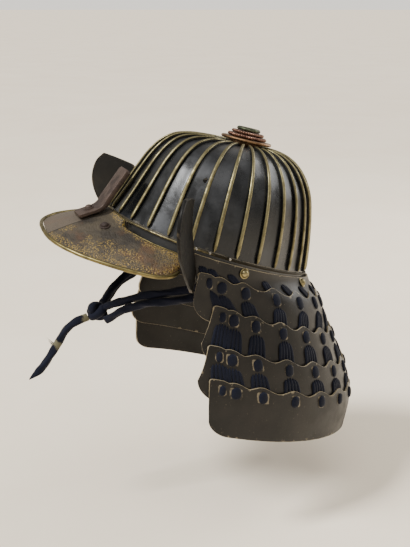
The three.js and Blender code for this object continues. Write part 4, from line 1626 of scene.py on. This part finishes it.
@dataclass(frozen=True)
class Lacing:
    """Silk that hangs each lame from the one above.

    Plump pads stand over the holes under a lame's top edge. Below them, splayed plaits run
    down behind the next lame, to that lame's own holes.
    """

    pad_height: float = 2.5
    pad_sway: float = 0.35
    plait_half: float = 2.1
    plait_height: float = 1.5
    spreads: tuple[float, float] = (2.5, 3.75)
    first_length: float = 15.0
    landing_drop: float = 6.0
    end_gap: float = 3.0
    pad_radius: float = 128.0
    end_radius: float = 125.0

    @staticmethod
    def rings(lame: Lame, line: tuple[Array, Array, Array], half: Array, height: Array) -> Array:
        """Rings of ribbons laid on a lame.

        A ring is the ribbon's line on the lame, plus its half width times the cosine across
        and its height times the sine outwards.

        Args:
            lame: the lame under them.
            line: headings, heights and stand-off, each of shape (ribbons, steps).
            half: half widths of shape (ribbons, steps).
            height: heights of the ribbon's back, of shape (ribbons, steps, sides) or less.

        Returns:
            Rings of shape (ribbons, steps, sides, 3), in metres.
        """
        heading, up, lift = line
        points = lame.skirt.point(heading, up, lame.stand(heading, up) + lift)
        normal = lame.skirt.normal(heading, up)
        side = unit(np.cross(unit(np.gradient(points, axis=1)), normal))
        sides = height.shape[-1]
        turn = np.linspace(0, 2 * math.pi, sides, endpoint=False)
        rings = points[:, :, None] + side[:, :, None] * (half[..., None] * np.cos(turn))[..., None]
        return POSE.place(rings + normal[:, :, None] * (height * np.sin(turn))[..., None])

    def pads(self, lame: Lame) -> Array:
        """One plump pad on each column, with three soft lobes across."""
        columns, high, low, half = (a[:, None] for a in lame.pads())
        along = np.linspace(0, 1, 12)[None]
        sway = self.pad_sway * np.sin(37.0 * columns)
        up = mix(high, low, along) + sway
        heading = columns + sway * (along - 0.5) * 2.4 / self.pad_radius
        ends = round_ends(along, 3.4, 0.06)
        turn = np.linspace(0, 2 * math.pi, 18, endpoint=False)
        lobes = 1 + 0.07 * np.cos(3 * math.pi * np.cos(turn))
        height = (self.pad_height * ends)[..., None] * lobes
        line = (heading, up, 0.2 + 0 * heading)
        taper = 1 - 0.1 * along * np.cos(11.0 * columns)
        return self.rings(lame, line, half * ends * taper, height + 0 * heading[..., None])

    def fans(self, lame: Lame, below: Lame, count: int) -> Array:
        """Splayed plaits from under each pad to the same column of the next lame."""
        columns, _, low, _ = (a[:, None, None] for a in lame.pads())
        landing = below.column_headings()[:, None, None]
        spread = (np.arange(count) - (count - 1) / 2)[None, :, None]
        along = np.linspace(0, 1, 8)[None, None]
        first = float(below.start(1.0)) + self.end_gap / self.end_radius
        foot = below.line_up(landing, 1.0) - self.landing_drop
        near = foot + self.first_length if lame.index == 1 else low - 1.6
        top = near - 0.5 * spread**2
        across = spread * mix(*self.spreads, np.sqrt(along)) / self.pad_radius
        heading = mix(columns, landing, along**1.2) + across
        heading = np.clip(heading, first * along + (first - 0.06) * (1 - along), 2 * math.pi - first)
        up = mix(top, foot, along)
        lift = 0.2 + 0.8 * np.sin(math.pi * np.minimum(along * 1.4, 1)) + 0 * heading
        line = tuple(a.reshape(-1, along.size) for a in np.broadcast_arrays(heading, up, lift))
        ends = round_ends(along[0, 0], 6, 0.12)
        half = self.plait_half * ends + 0 * line[0]
        return self.rings(lame, line, half, (self.plait_height * ends)[None, :, None] * np.ones(8))

    def build(self, lame: Lame, below: Optional[Lame]) -> None:
        """All the silk that shows on one lame."""
        body = Mesh()
        if lame.index > 1:
            body.add_tubes(self.pads(lame))
        if below is not None:
            body.add_tubes(self.fans(lame, below, 3 if lame.index == 1 else 5))
        piece = body.build(f"lacing_{lame.index}", 70)
        Dresser.dress(piece, Finishes.silk, Slot.CORD)


class NeckGuard:
    """Five lames, their lacing and the brass studs of the top one."""

    later = (0.022, 0.045, 0.092, 0.155, 0.22, 0.285, 0.355, 0.427, 0.5)
    second = (0.025, 0.052, 0.105, 0.18, 0.2525, 0.325, 0.387, 0.444, 0.5)
    first = (0.02, 0.04, 0.085, 0.172, 0.228, 0.295, 0.367, 0.434, 0.5)
    studs = (("front", 88.0, 0.835), ("rear", 136.0, 0.81))

    def __init__(self) -> None:
        """Lay out the lames from the top down."""
        self.lames = [
            Lame(1, 1, -18.5, -38, -47, 73.8, 65, 2.2, self.first),
            Lame(2, -18.5, -35, -65, -88, 64, 63, 3.1, self.second),
            Lame(3, -50, -73, -108, -130, 42, 47, 3.1, self.later),
            Lame(4, -91, -105, -146, -162, 41, 45, 3.1, self.later),
            Lame(5, -124.5, -135, -183, -185, 35, 28, 3.1, self.later),
        ]

    def build(self) -> None:
        """Lames, lacing and studs."""
        silk = Lacing()
        for lame, below in zip(self.lames, [*self.lames[1:], None]):
            lame.build()
            silk.build(lame, below)
        top = self.lames[0]
        for place, degrees, share in self.studs:
            for side, name in ((1, "left"), (-1, "right")):
                heading = np.array(math.radians(degrees))
                up = top.line_up(heading, share)
                point = top.skirt.point(heading, up, top.stand(heading, up) + 0.2)
                normal = top.skirt.normal(heading, up)
                flip = np.array([side, 1.0, 1.0])
                Stud().build(
                    f"guard_stud_{place}_{name}", point * flip, normal * flip, Finishes.stud,
                    Slot.STUD, f"neck_stud_{place}_{name}",
                )


# ---------------------------------------------------------------- finial


@dataclass(frozen=True)
class Finial:
    """Four tiers on the crown: a rolled base, two beaded rings and a knob with a socket."""

    crown: float = 114.0
    sides: int = 96

    def tier(
        self, name: str, profile: Sequence[Sequence[float]], finish: Finish, slot: Slot,
        node: str, beads: int = 0, depth: float = 0.0,
    ) -> None:
        """One turned tier; beads swell its rim by a cosine round the tier.

        Args:
            name: the piece's name.
            profile: [radius, height over the crown] rows from the foot up.
            finish: its finish.
            slot: its record slot.
            node: the CAD node that it replaces.
            beads: how many beads run round the rim.
            depth: how deep the grooves between them are.
        """
        rows = np.asarray(profile, float)
        turn = np.linspace(0, 2 * math.pi, self.sides * 3 if beads else self.sides, endpoint=False)
        groove = depth * (1 - np.abs(np.cos(turn * beads / 2))) if beads else 0 * turn
        outer = rows[:, 0] > rows[:, 0].max() - 3.2
        radius = np.maximum(rows[:, :1] - outer[:, None] * groove[None], 0.05)
        up = self.crown + rows[:, 1:] + 0 * radius
        rings = stack(radius * np.cos(turn), radius * np.sin(turn), up)
        body = Mesh()
        body.add_tubes(POSE.place(rings)[None])
        Dresser.dress(body.build(name, 55), finish, slot, [node])

    @staticmethod
    def rolled(radius: float, low: float, high: float, inside: float) -> list[tuple[float, float]]:
        """Profile of a disc whose rim is a half round."""
        half, middle = (high - low) / 2, (high + low) / 2
        turn = np.linspace(-math.pi / 2, math.pi / 2, 9)
        rim = [(radius - half + half * math.cos(t), middle + half * math.sin(t)) for t in turn]
        return [(0.0, low), (inside, low), *rim, (inside, high - 0.2), (0.0, high - 0.2)]

    def build(self) -> None:
        """The tiers from the crown up."""
        base = [(0.0, -0.4), (19.0, -0.4), (20.0, 4.4)] + self.rolled(29.3, 4.5, 8.0, 22.0)[1:]
        self.tier("finial_seat", base, Finishes.gilt, Slot.FINIAL_GILT, "finial_base")
        lower = self.rolled(22.6, 8.5, 12.2, 15.0)
        self.tier(
            "finial_beads_lower", lower, Finishes.copper, Slot.FINIAL_COPPER,
            "finial_ring_lower", 44, 1.1,
        )
        upper = self.rolled(18.8, 12.7, 16.0, 13.0)
        self.tier(
            "finial_beads_upper", upper, Finishes.copper, Slot.FINIAL_COPPER,
            "finial_ring_upper", 36, 1.0,
        )
        knob = [
            (0.0, 16.5), (12.4, 16.5), (13.4, 17.2), (13.8, 18.2), (13.2, 19.6), (12.0, 20.4),
            (10.6, 20.3), (9.6, 19.2), (8.2, 18.6), (7.4, 19.6), (5.5, 20.0), (3.0, 20.1),
            (0.0, 20.1),
        ]
        self.tier("finial_cap", knob, Finishes.bronze, Slot.FINIAL_BRONZE, "finial_knob")


# ---------------------------------------------------------------- chin cord


@dataclass(frozen=True)
class ChinCord:
    """Rolled navy cloth: two strands from each side meet in a knot that leaves a tail.

    These points are in the row frame, in metres: left, back, up.
    """

    radius: float = 0.0047
    lower: tuple[tuple[float, float, float], ...] = (
        (0.0122, -0.1708, -0.1817), (0.028, -0.157, -0.168), (0.045, -0.137, -0.157),
        (0.06, -0.116, -0.152), (0.074, -0.094, -0.147), (0.084, -0.076, -0.14),
        (0.0925, -0.061, -0.129), (0.096, -0.057, -0.1183),
    )
    upper: tuple[tuple[float, float, float], ...] = (
        (0.0076, -0.1706, -0.1681), (0.027, -0.15, -0.156), (0.043, -0.131, -0.148),
        (0.058, -0.11, -0.143), (0.071, -0.092, -0.137), (0.08, -0.083, -0.1315),
        (0.091, -0.074, -0.126), (0.096, -0.0695, -0.1183),
    )
    tail: tuple[tuple[float, float, float], ...] = (
        (0.0, -0.1896, -0.1795), (0.0, -0.203, -0.1845), (0.0, -0.215, -0.193),
        (0.0, -0.223, -0.204), (0.0, -0.231, -0.217), (0.0, -0.239, -0.228),
        (0.0, -0.249, -0.238), (0.0, -0.259, -0.246),
    )
    tail_worn: tuple[float, ...] = (0.003, 0.047)
    tail_tip: float = 0.016
    folds: int = 3
    fold_pitch: float = 0.042
    fold_depth: float = 0.1
    mean_size: float = 0.93
    swell: tuple[float, float] = (0.05, 0.0061)
    pucker: tuple[float, float] = (0.035, 0.0023)
    knot_inset: float = 0.0048

    def roll(self, path: Array, worn: Sequence[float], taper: float) -> Mesh:
        """Cloth rolled along a path.

        The section is a circle with a few soft folds that wind round the path, and small
        uneven swellings along it. With taper, the last stretch narrows and flattens.

        Args:
            path: points of the centreline.
            worn: distances along the path where the cloth is worn to its pale lining.
            taper: length of the pointed end.

        Returns:
            The mesh.
        """
        run = run_along(path)
        along = unit(np.gradient(path, axis=0))
        side = unit(np.cross(along, np.array([0.05, 0.3, 1.0])))
        up = np.cross(side, along)
        turn = np.linspace(0, 2 * math.pi, 20, endpoint=False)[None]
        s = run[:, None]
        wind = turn * self.folds + 2 * math.pi * s / self.fold_pitch
        (swell, reach), (pucker, pitch) = self.swell, self.pucker
        ripple = swell * np.sin(s / reach) + pucker * np.sin(s / pitch + 2 * turn)
        size = self.radius * (self.mean_size + self.fold_depth * np.cos(wind) + ripple)
        left = (run[-1] - s) / taper if taper else np.ones_like(s)
        tip = np.sqrt(np.clip(left, 0.02, 1))
        wide = (side[:, None] * (size * tip * np.cos(turn))[..., None])
        high = (up[:, None] * (size * tip**1.5 * np.sin(turn))[..., None])
        body = Mesh()
        far = np.min([np.abs(run - w) for w in worn], axis=0) / MM if len(worn) else run * 0 + FAR
        body.add_tubes((path[:, None] + wide + high)[None], mark=far[None])
        return body

    def knot(self) -> bpy.types.Object:
        """The knot: a rolled strand wound three times over itself in a trefoil."""
        low, high = (np.array(p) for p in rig.box("chin_knot"))
        centre, half = (low + high) / 2, (high - low) / 2
        t = np.linspace(0, 2 * math.pi, 90, endpoint=False)
        reach = 2 + np.cos(3 * t)
        line = stack(reach * np.cos(2 * t) / 3, np.sin(3 * t), reach * np.sin(2 * t) / 3)
        path = centre + line * (half - self.knot_inset)
        out = unit(path - centre)
        body = Mesh()
        swell = self.radius * (1 + 0.07 * np.sin(7 * t))
        body.add_tube(path, out, swell, swell * 0.9, 16, loop=True)
        piece = body.build("knot_cloth", 70)
        return Dresser.dress(piece, Finishes.cloth, Slot.CORD, ["chin_knot"])

    def tuft(self) -> bpy.types.Object:
        """A few torn threads that stand off the tail's worn patch, each bent by a square."""
        path = smooth_path(self.tail, 60)
        root = path[29]
        count, steps = 7, 6
        fan = np.linspace(-1, 1, count)[:, None]
        s = np.linspace(0, 1, steps)[None]
        y = root[1] - 0.002 - s * 0.0075 - 0.002 * fan * s * s
        z = root[2] + 0.0015 * fan + s * 0.0035 * (1 + fan) + 0.003 * s * s
        x = root[0] + 0.0018 * fan * s + 0.0012 * np.sin(5 * fan)
        line = stack(x, y, z)
        turn = np.linspace(0, 2 * math.pi, 6, endpoint=False)[None, None]
        thick = (0.00055 * (1.05 - s))[..., None]
        rings = stack(
            line[..., :1] + thick * np.cos(turn), line[..., 1:2], line[..., 2:] + thick * np.sin(turn)
        )
        body = Mesh()
        body.add_tubes(rings, mark=np.zeros((count, steps)))
        return Dresser.dress(body.build("tail_threads", 70), Finishes.cloth, Slot.CORD)

    def build(self) -> None:
        """Strands, knot, tail, torn threads and side tabs."""
        knot = self.knot()
        for name, route in (("lower", self.lower), ("upper", self.upper)):
            for side, hand in ((1, "left"), (-1, "right")):
                path = smooth_path(route, 90)[::-1] * np.array([side, 1, 1])
                body = self.roll(path, (), 0.0)
                piece = body.build(f"cord_{name}_{hand}", 70)
                Dresser.dress(piece, Finishes.cloth, Slot.CORD, [f"chin_cord_{name}_{hand}"])
                first = (name, hand) == ("lower", "left")
                self.declare(piece, path, "knot", 3, [knot] if first else ())
        path = smooth_path(self.tail, 70)
        piece = self.roll(path, self.tail_worn, self.tail_tip).build("cord_tail", 70)
        Dresser.dress(piece, Finishes.cloth, Slot.CORD, ["chin_tail"])
        self.declare(piece, path, "bare", 2, [self.tuft()])
        for hand in ("left", "right"):
            self.tab(hand)

    def declare(
        self, piece: bpy.types.Object, path: Array, far_end: str, step: int,
        others: Sequence[bpy.types.Object],
    ) -> None:
        """Args:
            piece: the cord's object.
            path: points of its centreline, from its fixed end.
            far_end: what its other end is.
            step: how many points of the path make one step of its route.
            others: pieces that hang on it.
        """
        length = float(run_along(path)[-1])
        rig.cord(
            piece, exit=path[0], length=round(length, 3), diameter=2 * self.radius,
            far_end=far_end, stiffness="limp", lay="hanging", path=path[::step],
            with_pieces=others,
        )
        LOG.info("%s: %.0f mm long", piece.name, length / MM)

    def tab(self, hand: str) -> None:
        """A side tab that the strands are tied to: a thin plate with round corners."""
        low, high = (np.array(p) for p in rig.box(f"cord_anchor_{hand}"))
        centre, half = (low + high) / 2, (high - low) / 2
        wide, tall = boxy_ring(40, 0.45)
        depth = np.array([-1, -1, -0.7, 0.7, 1, 1])[:, None]
        size = np.array([0.05, 0.92, 1, 1, 0.92, 0.05])[:, None]
        rings = stack(
            centre[0] + half[0] * depth, centre[1] + half[1] * size * wide,
            centre[2] + half[2] * size * tall,
        )
        body = Mesh()
        body.add_tubes(rings[None])
        piece = body.build(f"side_tab_{hand}", 40)
        Dresser.dress(piece, Finishes.russet, Slot.RUSSET, [f"cord_anchor_{hand}"])


# ---------------------------------------------------------------- studio


@dataclass(frozen=True)
class SoftLight:
    """A square soft light that faces the helmet."""

    name: str
    place: tuple[float, float, float]
    size: float
    power: float
    colour: Colour = (1.0, 0.98, 0.95)
    aim: tuple[float, float, float] = (0.0, 0.0, -0.15)

    def hang(self) -> None:
        """Put the light in its place, turned to its aim."""
        data = bpy.data.lights.new(self.name, "AREA")
        data.size, data.energy, data.color = self.size, self.power, self.colour
        light = bpy.data.objects.new(self.name, data)
        light.location = Vector(self.place)
        back = Vector(self.place) - Vector(self.aim)
        light.rotation_euler = back.to_track_quat("Z", "Y").to_euler()
        bpy.context.scene.collection.objects.link(light)


@dataclass(frozen=True)
class Studio:
    """Pale floor, soft lights and the camera, which looks at the wearer's left."""

    azimuth: float = math.radians(69.2)
    elevation: float = math.radians(16.7)
    distance: float = 1.06
    target: tuple[float, float, float] = (-0.0069, -0.0453, -0.1464)
    lens: float = 59.23
    sensor: float = 36.0
    floor_level: float = -0.412
    key_from: tuple[float, float, float] = (0.07, -0.6, 0.8)
    key_power: float = 4.3
    key_angle: float = math.radians(13)
    key_colour: Colour = (1.0, 0.985, 0.95)
    soft_lights: tuple[SoftLight, ...] = (
        SoftLight("overhead", (0.9, -0.2, 1.5), 1.2, 10.0),
        SoftLight("rear", (-0.3, 1.7, 0.6), 1.3, 22.0),
    )
    air_colour: Colour = (0.9, 0.86, 0.79)
    air: float = 0.64
    air_seen: float = 1.42

    def place_camera(self) -> None:
        """The camera on its sphere round the target, with an upright picture."""
        level = math.cos(self.elevation)
        back = Vector((
            math.sin(self.azimuth) * level, -math.cos(self.azimuth) * level,
            math.sin(self.elevation),
        ))
        data = bpy.data.cameras.new("camera")
        data.sensor_fit = "VERTICAL"
        data.sensor_height = self.sensor
        data.lens = self.lens
        data.clip_start, data.clip_end = 0.02, 200.0
        camera = bpy.data.objects.new("camera", data)
        camera.location = Vector(self.target) + back * self.distance
        camera.rotation_euler = back.to_track_quat("Z", "Y").to_euler()
        bpy.context.scene.collection.objects.link(camera)
        bpy.context.scene.camera = camera

    def lay_floor(self) -> None:
        """A wide round floor, made as rings of a disc."""
        turn = np.linspace(0, 2 * math.pi, 64, endpoint=False)[None]
        radius = np.array([90.0, 30.0, 9.0, 4.0, 2.0, 1.0, 0.4, 0.0001])[:, None]
        grid = stack(radius * np.cos(turn), radius * np.sin(turn), self.floor_level)
        body = Mesh()
        body.add_plate(grid, grid - np.array([0, 0, 0.01]), loop=True)
        floor = body.build("studio_floor")
        floor.data.materials.append(Finishes.floor.material())
        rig.stage(floor)

    def light(self) -> None:
        """A broad key from above the brow, soft lights overhead and behind, an even world.

        The world is brighter to the camera than to the pieces, so it is as pale as the floor.
        """
        data = bpy.data.lights.new("key", "SUN")
        data.energy, data.angle, data.color = self.key_power, self.key_angle, self.key_colour
        key = bpy.data.objects.new("key", data)
        key.rotation_euler = Vector(self.key_from).to_track_quat("Z", "Y").to_euler()
        bpy.context.scene.collection.objects.link(key)
        for soft in self.soft_lights:
            soft.hang()
        world = bpy.data.worlds.new("studio_air")
        world.use_nodes = True
        sky = world.node_tree.nodes["Background"]
        sky.inputs["Color"].default_value = (*self.air_colour, 1.0)
        graph = Graph(world.node_tree)
        seen = graph.add("LightPath", {}).outputs["Is Camera Ray"]
        strength = graph.ramp(seen, 0.0, 1.0, self.air, self.air_seen)
        world.node_tree.links.new(strength, sky.inputs["Strength"])
        bpy.context.scene.world = world

    def build(self) -> None:
        """Camera, floor and lights."""
        self.place_camera()
        self.lay_floor()
        self.light()


def main() -> None:
    """Build every sub-assembly in order and write the sizes before and after."""
    logging.basicConfig(level=logging.INFO, format="%(name)s %(message)s")
    before = [list(corner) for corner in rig.bounds()]
    bowl = Bowl()
    Studio().build()
    ChinCord().build()
    bowl.build()
    Ribs(bowl).build()
    BaseBand(bowl).build()
    Peak(bowl).build()
    CrestHolder().build()
    for side, name in ((1, "left"), (-1, "right")):
        Flap().build(side, name)
    NeckGuard().build()
    Finial().build()
    after = [list(corner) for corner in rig.bounds()]
    with open("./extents.json", "w", encoding="utf-8") as file:
        json.dump({"frame": before, "visual": after}, file)
    LOG.info("sizes: frame %s, visual %s", before, after)


if __name__ == "__main__":
    main()
